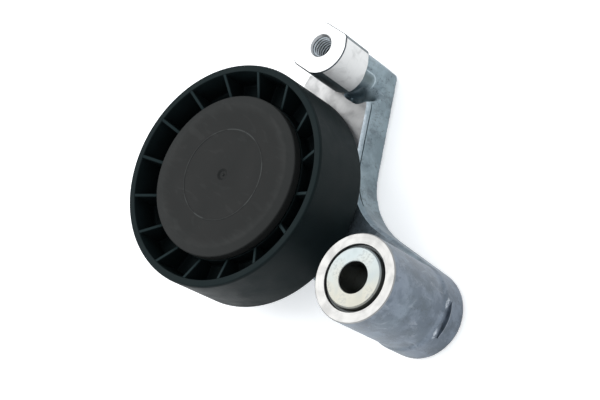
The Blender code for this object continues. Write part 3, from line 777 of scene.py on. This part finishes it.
def make_bearing():
    low, high = node_box("bearing_inner_ring")
    bottom, top = low[2], high[2]
    middle = (bottom + top) / 2
    steel = bearing_steel("bearing_ring_steel")
    inner = chamfered(BEARING_BORE_R, INNER_SHOULDER_R, bottom, top, 0.45, 0.2)
    half = len(inner) // 2
    inner = inner[:half] + groove(-1, INNER_SHOULDER_R, middle) + inner[half:]
    ring = lathe(inner, HUB, SMALL_STEPS)
    piece("inner_ring", ring, steel, "lever", ["bearing_inner_ring"])
    r = node_box("bearing_outer_ring")[1][0]
    rear_seat = bottom + 1.7
    front_seat = top - 1.7
    outer = [(SEAL_SEAT_R, bottom), (r - 0.6, bottom), (r - 0.2, bottom + 0.15), (r, bottom + 0.6),
             (r, top - 0.6), (r - 0.2, top - 0.15), (r - 0.6, top), (SEAL_SEAT_R, top),
             (SEAL_SEAT_R, front_seat), (OUTER_SHOULDER_R, front_seat)]
    outer += list(reversed(groove(1, OUTER_SHOULDER_R, middle)))
    outer += [(OUTER_SHOULDER_R, rear_seat), (SEAL_SEAT_R, rear_seat)]
    ring = lathe(outer, HUB, LATHE_STEPS)
    piece("outer_ring", ring, steel, "pulley", ["bearing_outer_ring"])
    seal = [(12.6, 0.15, 0.05), (13.2, 0.0, 0.15), (14.2, 0.35, 0.3), (19.0, 0.35, 0.3), (19.6, 0.0, 0.2),
            (20.4, 0.0, 0.15), (20.4, 1.0, 0.15), (19.2, 1.0, 0.1), (13.0, 1.0, 0.2), (12.6, 0.6, 0.05)]
    for name, face, way in (("rear_bearing_seal", bottom + 0.3, 1), ("front_bearing_seal", top - 0.3, -1)):
        corners = [(r, face + way * depth, rounding) for r, depth, rounding in seal]
        ring_piece(name + "_disc", corners, HUB, RUBBER, "pulley", [name])
    make_cage(middle)
    for i in range(BALL_COUNT):
        ball = bmesh.new()
        bmesh.ops.create_icosphere(ball, subdivisions=4, radius=BALL_R)
        bmesh.ops.translate(ball, verts=ball.verts, vec=(*polar(HUB, PITCH_R, TAU * i / BALL_COUNT), middle))
        piece(f"steel_ball_{i + 1}", ball, BALL_STEEL, "ball_cage", [f"ball_{i + 1}"])


def chamfered(inner, outer, low, high, inner_cut, outer_cut):
    """A ring's section as (radius, height) points, from its rear bore edge outwards to its front one."""
    return [(inner, low + inner_cut), (inner + inner_cut, low), (outer - outer_cut, low),
            (outer, low + outer_cut), (outer, high - outer_cut), (outer - outer_cut, high),
            (inner + inner_cut, high), (inner, high - inner_cut)]


def make_cage(middle):
    """A snap-in crown cage: a ring with a horned pocket round each ball and a recess between two balls."""
    low, high = node_box("bearing_cage")
    corners = [(14.3, low[2], 0.3), (17.7, low[2], 0.3), (17.7, high[2], 0.3), (14.3, high[2], 0.3)]
    cage = scratch("cage", lathe(rounded(corners, 3), HUB, SMALL_STEPS), CAGE)
    for i in range(BALL_COUNT):
        angle = TAU * i / BALL_COUNT
        hollow(cage, (*polar(HUB, PITCH_R, angle), middle), RACE_R, 48)
        hollow(cage, (*polar(HUB, PITCH_R, angle + TAU / BALL_COUNT / 2), high[2] + 0.6), 2.3, 32)
    dress(cage, "crown_cage", "ball_cage", ["bearing_cage"])


def hollow(target, centre, radius, steps):
    """Cut a ball out of the cage."""
    ball = bmesh.new()
    bmesh.ops.create_uvsphere(ball, u_segments=steps, v_segments=steps // 2, radius=radius)
    bmesh.ops.translate(ball, verts=ball.verts, vec=centre)
    cut(target, scratch("hollow", ball, CAGE))


def make_hub():
    zinc = zinc_plate("hub_zinc", HUB)
    bore = 5.3
    tube_r = 8.2
    washer_r = 11.5
    low, high = node_box("hub_spacer")
    tube = [(bore, low[2], 0.25), (tube_r, low[2], 0.3), (tube_r, high[2], 0.3), (bore, high[2], 0.25)]
    ring_piece("spacer_tube", tube, HUB, zinc, "lever", ["hub_spacer"])
    low, high = node_box("bolt_washer")
    washer = [(bore, low[2], 0.15), (washer_r, low[2], 0.15), (washer_r, high[2], 0.5), (bore, high[2], 0.3)]
    ring_piece("clamp_washer", washer, HUB, zinc, "lever", ["bolt_washer"])
    dish = node_box("rear_dust_shield")[0][2]
    base = dish + 0.6
    shield = [(BEARING_BORE_R, base, 0.1), (13.0, base, 0.5), (14.0, dish, 0.5), (20.1, dish, 0.1),
              (20.4, dish + 0.25, 0.1), (20.4, base + 0.2, 0.1), (14.4, base + 0.2, 0.4),
              (13.4, base + 0.9, 0.4), (BEARING_BORE_R, base + 0.9, 0.1)]
    ring_piece("shield_disc", shield, HUB, pressed_steel(), "lever", ["rear_dust_shield"])
    make_bolt(zinc)


def soft_turned(name, corners, material):
    """A temporary solid turned round the hub from (radius, height, rounding) corners."""
    return turned(name, rounded(corners, 3, closed=False), HUB, material)


def make_bolt(zinc):
    """A flanged hexagon bolt with a chamfered head and a cut thread."""
    low, high = node_box("pulley_bolt")
    seat_z = node_box("bolt_washer")[1][2] + 0.3
    flange_z = seat_z + 1.4
    hex_z = flange_z - 1.2
    shank_z = node_box("bearing_inner_ring")[0][2]
    bolt = scratch("bolt", thread(HUB, 4.25, 4.9, 1.5, low[2] - 3.0, shank_z + 3.0), zinc)
    end = [(0, low[2], 0), (4.0, low[2], 0.2), (5.0, low[2] + 1.0, 0.1), (5.0, shank_z, 0), (0, shank_z, 0)]
    keep_inside(bolt, soft_turned("end", end, zinc))
    flange = [(0, shank_z - 0.5, 0), (4.6, shank_z - 0.5, 0), (4.9, shank_z + 0.2, 0.1), (4.9, seat_z, 0.2),
              (9.5, seat_z, 0.1), (9.6, seat_z + 0.5, 0.2), (7.9, flange_z, 0.6), (0, flange_z, 0)]
    join(bolt, soft_turned("flange", flange, zinc))
    hexagon = [polar(HUB, 7.5 / math.cos(math.pi / 6), k * TAU / 6) for k in range(6)]
    head = slab("hex", hexagon, hex_z, high[2], zinc)
    dome = [(0, hex_z, 0), (9.0, hex_z, 0), (9.0, high[2] - 1.0, 0.2), (7.1, high[2], 0.2), (0, high[2], 0)]
    keep_inside(head, soft_turned("dome", dome, zinc))
    join(bolt, head)
    dress(bolt, "flanged_bolt", "lever", ["pulley_bolt"])


# ---------------------------------------------------------------- pivot

def make_pivot():
    low, high = node_box("pivot_sleeve")
    bore = 5.15
    sleeve_r = 9.9
    bevel = 0.45
    face_r = sleeve_r - bevel
    bush_r = 10.9
    section = [(bore, low[2] + 0.2, 0.05), (bore + 0.2, low[2], 0.05), (face_r, low[2], 0.1),
               (sleeve_r, low[2] + bevel, 0.1), (sleeve_r, high[2] - bevel, 0.1), (face_r, high[2], 0.1),
               (bore + 0.2, high[2], 0.05), (bore, high[2] - 0.2, 0.05)]
    piece("sleeve_turned", lathe(rounded(section, 2), PIVOT, LATHE_STEPS), zinc_plate("sleeve_zinc", PIVOT),
          "pivot_sleeve", ["pivot_sleeve"])
    for name in ("front_bush", "rear_bush"):
        low, high = node_box(name)
        liner = [(10.05, low[2], 0.15), (bush_r, low[2], 0.2), (bush_r, high[2], 0.2), (10.05, high[2], 0.15)]
        ring_piece(name + "_liner", liner, PIVOT, BUSH, "lever", [name])
    for name, way, material in (("front_seal_ring", 1, DUSTY_RUBBER), ("rear_seal_ring", -1, RUBBER)):
        low, high = node_box(name)
        outer, inner = (high[2], low[2]) if way > 0 else (low[2], high[2])
        lip = [(10.1, outer - way * 0.55, 0.08), (10.35, outer - way * 0.25, 0.1), (10.6, outer, 0.12),
               (bush_r, outer, 0.1), (bush_r, inner, 0.1), (10.4, inner, 0.1),
               (10.35, inner + way * 0.9, 0.1), (10.1, inner + way * 1.1, 0.08)]
        ring_piece(name + "_lip", lip, PIVOT, material, "lever", [name])


# ---------------------------------------------------------------- lever

VOXEL = 0.6
PARTING_Z = 12.3
PLATE_Z = 14.2
REAR_Z = 0.8
POCKET_ROOF_Z = 7.3
ARM_TILT = math.radians(28.5)
ARM_EDGE = (30.9, 48.7)
ARM_SIDE_X = 62.0
NECK_LEAN = math.radians(4.5)
NECK_FILLET_R = 9.0
ARM_TOP_Y = 91.0
COLLAR_R = 15.2
BOSS_R = 14.6
BOSS_FRONT_Z = 44.8
NOTCH_ANGLES = (math.radians(-101), math.radians(-50))
NOTCH_LOW_Z = 9.2
NOTCH_MIDDLE_Z = 11.0
NOTCH_HIGH_Z = 12.9
BORE_OF_BOSS_R = 11.2
DISC_R = 29.0
STRUT_R = 10.3
STRUT_FLAT = (45.0, 82.2)
STRUT_SIDE_X = 62.8
EJECTOR_R = 1.5
EJECTOR_MARKS = ((0.0, 31.0), (31.0, 62.0), (-26.7, 72.0), (13.3, 95.1), (57.0, 81.8))
# the strut boss's material slots
TURNED_SIDE, BROKEN_EDGE, FRONT_FACE, CAST_SIDE, FLANK = range(5)
# where the strut boss is turned, and where the narrow flank beside that ends, in degrees round its axis
TURNED_FROM = -137
TURNED_TO = -49.5
FLANK_TO = -41.0
# how far up the turned side of the strut boss starts, by angle in degrees round its axis
ROOT_ANGLES = (-180, -150, -132, -118, -100, -83, -55, -30, 0, 60, 120, 180)
ROOT_HEIGHTS = (16.4, 16.6, 17.0, 17.6, 18.3, 19.4, 20.2, 20.2, 20.0, 19.0, 17.0, 16.4)


def fillet(before, corner, after, radius, steps):
    """The arc that rounds one corner of a plan outline."""
    to_before = math.atan2(before[1] - corner[1], before[0] - corner[0])
    to_after = math.atan2(after[1] - corner[1], after[0] - corner[0])
    opening = (to_after - to_before + math.pi) % TAU - math.pi
    bisector = to_before + opening / 2
    centre = polar(corner, radius / math.sin(abs(opening) / 2), bisector)
    sweep = math.copysign(math.pi - abs(opening), opening)
    middle = bisector + math.pi
    return arc(centre, radius, middle + sweep / 2, middle - sweep / 2, steps)


def arm_line(x, inset=0.0):
    """A point at the given x on the slanted edge of the arm, or a little inside it."""
    return (x, ARM_EDGE[1] + (x - ARM_EDGE[0]) * math.tan(ARM_TILT) + inset / math.cos(ARM_TILT))


def plate_outline(inset=0.0, flare=0.0):
    """The lever's plan, drawn in by the inset; the flare lets the slanted edge of the arm stand out again."""
    disc_r = DISC_R - inset
    collar = COLLAR_R - inset
    side = ARM_SIDE_X - inset
    armpit = arm_line(collar, inset - flare)
    nose = arm_line(side, inset - flare)
    shoulder = (side, ARM_TOP_Y - inset)
    neck, disc_end = neck_fillet(collar, disc_r, NECK_FILLET_R + inset, 16)
    disc = arc(HUB, disc_r, math.radians(30), disc_end, 72)
    points = arc(PIVOT, collar, math.pi - NECK_LEAN, TAU, 52)
    points += fillet((collar, 0.0), armpit, nose, 27.0 + inset, 24)
    points += fillet(armpit, nose, shoulder, 2.0 - inset / 2, 6)
    points += fillet(nose, shoulder, disc[0], 8.5 - inset, 12)
    return points + disc[:-1] + neck


def neck_fillet(collar, disc_r, radius, steps):
    """The arc from the disc to the neck's straight -X edge, and the angle at which it leaves the disc."""
    along = (math.sin(NECK_LEAN), math.cos(NECK_LEAN))
    outwards = (-along[1], along[0])
    aside = collar + radius - HUB[1] * outwards[1]
    back = math.sqrt((disc_r + radius) ** 2 - aside ** 2)
    centre = (HUB[0] + aside * outwards[0] - back * along[0], HUB[1] + aside * outwards[1] - back * along[1])
    towards_disc = math.atan2(HUB[1] - centre[1], HUB[0] - centre[0])
    return arc(centre, radius, towards_disc, -NECK_LEAN, steps), towards_disc + math.pi


def strut_outline():
    """Round towards the pivot, flat on the other sides."""
    half = math.acos((STRUT[0] - STRUT_FLAT[0]) / STRUT_R)
    foot = arc(STRUT, STRUT_R, math.pi + half, math.radians(296), 48)
    nose = arm_line(STRUT_SIDE_X, 0.45)
    outer = (STRUT_SIDE_X, STRUT_FLAT[1])
    inner = (STRUT_FLAT[0], STRUT_FLAT[1] - 1.2)
    points = foot + fillet(foot[-1], nose, outer, 2.0, 10) + fillet(nose, outer, inner, 5.5, 14)
    return points + fillet(outer, inner, foot[0], 3.0, 10)


def block_outline(inset=0.2):
    side = ARM_SIDE_X - inset
    nose = arm_line(side, inset)
    shoulder = (side, ARM_TOP_Y - inset)
    inner_x = STRUT[0] - 3.5
    inner_top = (inner_x, ARM_TOP_Y - 1.8)
    inner_low = arm_line(inner_x, inset)
    points = fillet(inner_low, nose, shoulder, 2.0, 6)
    return points + fillet(nose, shoulder, inner_top, 8.3, 12) + [inner_top, inner_low]


def scoop_outline():
    """The hollow round the inner side of the strut boss's foot, open at both edges of the arm."""
    start = math.radians(100)
    end = math.radians(289)
    reach = 26.0
    outer_low = polar(STRUT, reach, end)
    outer_high = polar(STRUT, reach, start)
    wall_low = (52.6, 59.4)
    edge_x = 45.2
    wall_high = (edge_x, outer_high[1])
    foot = arc(STRUT, 9.3, end, start, 40)
    wall = fillet(wall_high, (edge_x, 61.3), wall_low, 4.2, 12)
    return foot + [outer_high, wall_high] + wall + [wall_low, outer_low]


def root_height(x, y):
    angle = math.degrees(math.atan2(y - STRUT[1], x - STRUT[0]))
    return float(np.interp(angle, ROOT_ANGLES, ROOT_HEIGHTS))


def boss_column(outline, centre, low, high, chamfer):
    """A prism round a centre, in short rows so that its cut edges shade cleanly."""
    count = len(outline)
    rows = 16
    front_outline = scaled(outline, centre, 1 - chamfer / math.dist(outline[0], centre))
    roots = [low(x, y) for x, y in outline]
    points = []
    for k in range(rows + 1):
        points += [(x, y, root + (high - chamfer - root) * k / rows) for (x, y), root in zip(outline, roots)]
    points += [(x, y, high) for x, y in front_outline]
    points += [(*centre, min(roots) - 1.0), (*centre, high)]
    faces = grid_faces(rows + 2, count, False, True)
    faces += [(i, (i + 1) % count, len(points) - 2) for i in range(count)]
    front = (rows + 1) * count
    faces += [(front + i, front + (i + 1) % count, len(points) - 1) for i in range(count)]
    bm = to_bmesh(points, faces)
    bm.faces.ensure_lookup_table()
    for face in bm.faces:
        middle = face.calc_center_median()
        angle = math.degrees(math.atan2(middle.y - centre[1], middle.x - centre[0]))
        row = face.index // count
        ends = (BROKEN_EDGE, TURNED_SIDE, FRONT_FACE)
        face.material_index = side_slot(angle) if row < rows else ends[row - rows]
    return bm


def side_slot(angle):
    """The material slot of the strut boss's side at an angle in degrees."""
    if TURNED_FROM < angle < TURNED_TO:
        return TURNED_SIDE
    return FLANK if TURNED_TO < angle < FLANK_TO else CAST_SIDE


def scaled(outline, centre, factor):
    return [(centre[0] + (x - centre[0]) * factor, centre[1] + (y - centre[1]) * factor) for x, y in outline]


def ring_segment(inner, outer, start, end, centre):
    return arc(centre, outer, start, end, 16) + arc(centre, inner, end, start, 16)


def rod(radius, low, high):
    """A plain cylinder's profile."""
    return [(0, low), (radius, low), (radius, high), (0, high)]


def rear_pockets():
    """Eight round the hub and two in the neck, open to the back."""
    starts = [math.radians(45 * i + 27) for i in range(8)]
    pockets = [ring_segment(14.0, 24.5, start, start + math.radians(36), HUB) for start in starts]
    return pockets + [[(2.0, 20.0), (10.5, 21.5), (12.0, 38.0), (2.0, 43.0)],
                      [(-2.0, 20.0), (-9.5, 21.5), (-9.0, 37.0), (-2.0, 42.0)]]


def rough_casting():
    """The casting before machining, as one temporary object with soft edges."""
    rear_layer = tapered(plate_outline(0.0, 0.7), plate_outline(0.0, -0.1), REAR_Z + 0.15, PARTING_Z)
    lever = scratch("lever", rear_layer, CAST)
    boss = rod(BOSS_R, REAR_Z - 0.4, BOSS_FRONT_Z + 1.5)
    seat = [(0, 3.0), (13.2, 3.0), (13.2, PLATE_Z - 0.4), (12.2, PLATE_Z + 0.8), (11.9, 19.0), (0, 19.0)]
    shoulder = [(0, 4.0), (14.0, 4.0), (14.0, 17.0), (12.2, 18.2), (11.0, 19.6), (0, 19.6)]
    cone = turned("shoulder", shoulder, STRUT, CAST)
    keep_inside(cone, slab("block limit", block_outline(0.25), 3.5, 40.0, CAST))
    added = [
        slab("plate step", plate_outline(0.45), REAR_Z + 1.0, PARTING_Z + 0.9, CAST),
        slab("plate front", plate_outline(1.2), REAR_Z + 1.0, PLATE_Z + 0.45, CAST),
        turned("boss", boss, PIVOT, CAST, LATHE_STEPS),
        turned("seat", seat, HUB, CAST),
        slab("block", block_outline(), REAR_Z + 1.5, 18.8, CAST),
        cone,
        slab("core", scaled(strut_outline(), STRUT, 0.93), REAR_Z + 2.0, 30.0, CAST),
    ]
    for other in added:
        join(lever, other)
    cut(lever, slab("scoop", scoop_outline(), 9.5, 24.0, CAST))
    for outline in rear_pockets():
        cut(lever, slab("pocket", outline, REAR_Z - 1.0, POCKET_ROOF_Z, CAST))
    modifier = lever.modifiers.new("remesh", "REMESH")
    modifier.mode = "VOXEL"
    modifier.voxel_size = VOXEL * MM
    settle(lever)
    soften(lever, 3)
    soften(lever, 90, (54.5, 61.0, 11.0), 3.5, 7.5)
    soften(lever, 40, (50.8, 60.4, 13.2), 1.5, 4.5)
    roughen(lever.data)
    return lever


def soften(target, rounds, centre=None, near=0.0, far=0.0):
    """Smooth the surface, everywhere or only round a point, fading out from near to far."""
    modifier = target.modifiers.new("soften", "SMOOTH")
    modifier.factor = 0.5
    modifier.iterations = rounds
    if centre:
        group = target.vertex_groups.new(name="soft")
        middle = Vector(centre) * MM
        for vertex in target.data.vertices:
            away = (vertex.co - middle).length / MM
            if away < far:
                group.add([vertex.index], min(1.0, (far - away) / (far - near)), "REPLACE")
        modifier.vertex_group = "soft"
    settle(target)
    target.vertex_groups.clear()


def roughen(mesh):
    """Slight unevenness of the cast skin, always inwards."""
    count = len(mesh.vertices)
    places = np.empty(count * 3)
    normals = np.empty(count * 3)
    mesh.vertices.foreach_get("co", places)
    mesh.vertex_normals.foreach_get("vector", normals)
    places = places.reshape(-1, 3)
    normals = normals.reshape(-1, 3)
    coarse = np.array([noise.noise(Vector(p) / (7.0 * MM)) for p in places])
    fine = np.array([noise.noise(Vector(p) / (2.5 * MM)) for p in places])
    places -= normals * (0.04 * (1.0 + coarse + 0.5 * fine) * MM)[:, None]
    mesh.vertices.foreach_set("co", places.reshape(-1))
    mesh.update()


def make_lever():
    lever = rough_casting()
    face_metal = machined_aluminium("turned_at_strut", STRUT, tone=(0.46, 0.465, 0.47), stain=0.05)
    side_metal = machined_aluminium("turned_strut_side", STRUT, 0.5, (0.66, 0.655, 0.645), 0.58, 0.35, 0.05,
                                    0.18)
    add_strut_boss(lever, face_metal, side_metal)
    milled = [(-45.0, 44.0), (50.9, 44.0), (50.9, 61.0), (46.4, 64.5), (46.4, 104.0), (-45.0, 104.0)]
    as_cast = [(-20.0, 2.0), (24.0, 2.0), (44.0, 30.0), (44.0, 44.0), (-20.0, 44.0)]
    lower_front(lever, milled, MILLED, HUB, 13.6)
    lower_front(lever, as_cast, CAST, PIVOT, 16.2)
    machine_pivot(lever)
    machine_hub_seat(lever)
    tap_strut_boss(lever, face_metal, side_metal)
    cut(lever, notch())
    cut(lever, parting_groove())
    for place in EJECTOR_MARKS:
        cut(lever, turned("mark", rod(EJECTOR_R, REAR_Z - 2.0, REAR_Z + 0.5), place, CAST))
    dress(lever, "lever_casting", "lever", ["lever_arm"])


def add_strut_boss(lever, face_metal, side_metal):
    # the narrow flank beside the turned side is painted dark as shade
    painted_shade_flank = machined_aluminium("strut_flank_painted_shade", STRUT, 0.6, (0.160, 0.178, 0.187), 0.5, 0.9, 0.1)
    edge_metal = machined_aluminium("broken_edge", STRUT, 0.2, (0.085, 0.098, 0.108), 0.45)
    column = boss_column(strut_outline(), STRUT, root_height, STRUT_FRONT_Z, 0.35)
    column = scratch("strut", column, side_metal)
    for metal in (edge_metal, face_metal, CAST, painted_shade_flank):
        column.data.materials.append(metal)
    join(lever, column)


def lower_front(lever, outline, material, island, island_r):
    """Take the plate's front down to its level inside an outline, but not round a boss, the island."""
    face = slab("face", outline, PLATE_Z, PLATE_Z + 3.0, material)
    cut(face, turned("island", rod(island_r, 10.0, 20.0), island, material, LATHE_STEPS))
    cut(lever, face)


def turn_away(lever, profiles, axis, metal):
    for profile in profiles:
        cut(lever, turned("cut", profile, axis, metal, LATHE_STEPS))


def machine_pivot(lever):
    """Face the pivot boss at both ends and bore it."""
    r = BORE_OF_BOSS_R
    z = BOSS_FRONT_Z
    front = [(0, z), (BOSS_R - 0.4, z), (BOSS_R + 0.3, z - 0.7), (20.0, z - 0.7), (20.0, z + 9.0),
             (0, z + 9.0)]
    bore = [(0, -5), (r + 1.0, -5), (r + 0.45, REAR_Z), (r, REAR_Z + 0.45), (r, z - 1.0), (r - 0.2, z - 0.8),
            (r - 0.2, z - 0.1), (r - 0.1, z), (r - 0.1, z + 9), (0, z + 9)]
    metal = machined_aluminium("turned_at_pivot", PIVOT, tone=(0.325, 0.323, 0.317), stain=0.14)
    turn_away(lever, (front, bore, rod(COLLAR_R + 1.0, -4.0, REAR_Z)), PIVOT, metal)


def machine_hub_seat(lever):
    """Face the pulley's seat and drill it for the bolt."""
    z = 17.6
    seat = [(0, z), (11.2, z), (12.4, z - 1.0), (16.0, z - 1.0), (16.0, 26.0), (0, 26.0)]
    bolt = [(0, -5), (6.6, -5), (6.2, REAR_Z + 0.2), (5.2, REAR_Z + 1.2), (5.2, z - 0.6), (5.8, z),
            (7.0, 24.0), (0, 24.0)]
    turn_away(lever, (seat, bolt), HUB, machined_aluminium("turned_at_hub", HUB))


def tap_strut_boss(lever, face_metal, side_metal):
    """Countersink, drill and tap the strut's hole."""
    core_r = 3.4
    crest_r = core_r - 0.1
    groove_r = 4.1
    z = STRUT_FRONT_Z
    mouth = [(0, z - 1.2), (core_r - 0.2, z - 1.2), (core_r + 0.85, z), (core_r + 2.0, z + 1.4), (0, z + 1.4)]
    rear_mouth = [(0, -2.0), (core_r + 4.0, -2.0), (core_r + 1.0, REAR_Z + 0.25),
                  (core_r - 0.2, REAR_Z + 1.4), (0, REAR_Z + 1.4)]
    turn_away(lever, (mouth, rear_mouth), STRUT, face_metal)
    cut(lever, turned("drill", rod(core_r, -6.0, z + 6.0), STRUT, side_metal))
    tap = thread(STRUT, crest_r, groove_r, 1.25, -6.0, z + 6.0)
    cut(lever, scratch("tap", tap, cut_thread("strut_thread", STRUT, crest_r, groove_r)))


def parting_groove():
    """The fine line where the two halves of the mould met, along the slanted side of the arm."""
    groove = slab("groove", plate_outline(-1.0), PARTING_Z - 0.1, PARTING_Z + 0.35, CAST)
    cut(groove, slab("land", plate_outline(0.6), PARTING_Z - 1.0, PARTING_Z + 1.0, CAST))
    reach = [(18.0, 8.0), (49.0, 40.0), (49.0, 70.0), (18.0, 60.0)]
    keep_inside(groove, slab("reach", reach, PARTING_Z - 2.0, PARTING_Z + 2.0, CAST))
    return groove


def notch():
    """A crescent in the side of the pivot boss, running out at both ends."""
    start, end = NOTCH_ANGLES
    inner = []
    for t in np.linspace(-1.0, 1.0, 33):
        depth = 1.3 * math.sqrt(max(0.0, 1 - t * t))
        inner.append(polar(PIVOT, COLLAR_R + 0.15 - depth, (start + end) / 2 + t * (end - start) / 2))
    outer = arc(PIVOT, COLLAR_R + 3.0, end, start, 24)
    return slab("notch", inner + outer, NOTCH_LOW_Z, NOTCH_HIGH_Z, CAST)


# ---------------------------------------------------------------- stage

def add_camera():
    """The photograph's view: high above the -Y side, and rolled so that the pivot sits low on the right."""
    target = Vector((7.434, 53.364, 22.0)) * MM
    distance = 0.51191
    elevation = math.radians(51.0)
    turn = math.radians(5.33)
    roll = math.radians(59.95)
    forward = Vector((-math.cos(elevation) * math.sin(turn), math.cos(elevation) * math.cos(turn),
                      -math.sin(elevation)))
    level_up = (Vector((0, 0, 1)) - forward * forward.z).normalized()
    up = math.cos(roll) * level_up + math.sin(roll) * forward.cross(level_up)
    right = forward.cross(up)
    data = bpy.data.cameras.new("camera")
    data.lens = 90.0
    data.sensor_width = 36.0
    data.clip_start = 0.02
    data.clip_end = 20.0
    camera = bpy.data.objects.new("camera", data)
    basis = Matrix((right, up, -forward)).transposed().to_4x4()
    basis.translation = target - forward * distance
    camera.matrix_world = basis
    bpy.context.scene.collection.objects.link(camera)
    bpy.context.scene.camera = camera


def add_softbox(name, direction, distance, width, height, radiance, colour=(1.0, 1.0, 1.0)):
    """A large soft light, facing the middle of the object."""
    target = Vector((0.01, 0.055, 0.02))
    data = bpy.data.lights.new(name, "AREA")
    data.shape = "RECTANGLE"
    data.size = width
    data.size_y = height
    data.energy = radiance * math.pi * width * height
    data.color = colour
    light = bpy.data.objects.new(name, data)
    away = Vector(direction).normalized()
    light.location = target + away * distance
    light.rotation_euler = away.to_track_quat("Z", "Y").to_euler()
    bpy.context.scene.collection.objects.link(light)


def floor_paint():
    """Near-white paint that glows a little, like a light table."""
    material, tree = new_material("floor_paint")
    place = node(tree, "ShaderNodeTexCoord").outputs["Object"]
    grain = node(tree, "ShaderNodeTexNoise", Vector=place, Scale=9.0, Detail=2.0).outputs["Fac"]
    colour = mix(grain, (0.93, 0.93, 0.93), (0.96, 0.96, 0.96))
    return finished(material, colour, 0.9, Specular_IOR_Level=0.1, Emission_Color=(1.0, 1.0, 1.0, 1.0),
                    Emission_Strength=0.40)


def add_stage():
    floor = bpy.data.objects.new("floor", bpy.data.meshes.new("floor"))
    half = 6.0
    corners = [(-half, -half, 0), (half, -half, 0), (half, half, 0), (-half, half, 0)]
    floor.data.from_pydata(corners, [], [(0, 1, 2, 3)])
    floor.location.z = -0.0005
    floor.data.materials.append(floor_paint())
    bpy.context.scene.collection.objects.link(floor)
    world = bpy.data.worlds.new("world")
    world.use_nodes = True
    background = world.node_tree.nodes["Background"]
    background.inputs["Color"].default_value = (0.91, 0.955, 1.0, 1.0)
    background.inputs["Strength"].default_value = 1.0
    bpy.context.scene.world = world
    add_softbox("overhead", (-0.10, 0.60, 0.79), 1.1, 1.0, 0.9, 2.5, (1.0, 0.985, 0.965))
    add_softbox("left", (-0.90, -0.10, 0.45), 1.2, 0.7, 0.7, 0.45)


# ---------------------------------------------------------------- build

PULLEY_BOX = node_box("pulley_body")
RUBBER = rubber("seal_rubber", (0.012, 0.012, 0.013), (0.03, 0.03, 0.032))
DUSTY_RUBBER = rubber("dusty_seal_rubber", (0.16, 0.17, 0.17), (0.26, 0.27, 0.27))
CAST = cast_aluminium()
MILLED = machined_aluminium("milled_face", (60.0, -260.0), 0.9, (0.42, 0.42, 0.42), 0.48, 0.8, 0.08, 0.18)
CAGE = polymer("cage_nylon", (0.16, 0.11, 0.06), (0.26, 0.19, 0.11))
BUSH = polymer("bush_polymer", (0.20, 0.18, 0.13), (0.32, 0.29, 0.21))
BALL_STEEL = polished_ball()

add_camera()
add_stage()
make_lever()
make_pivot()
make_pulley()
make_cap()
make_bearing()
make_hub()
bpy.context.scene.view_settings.view_transform = "Standard"
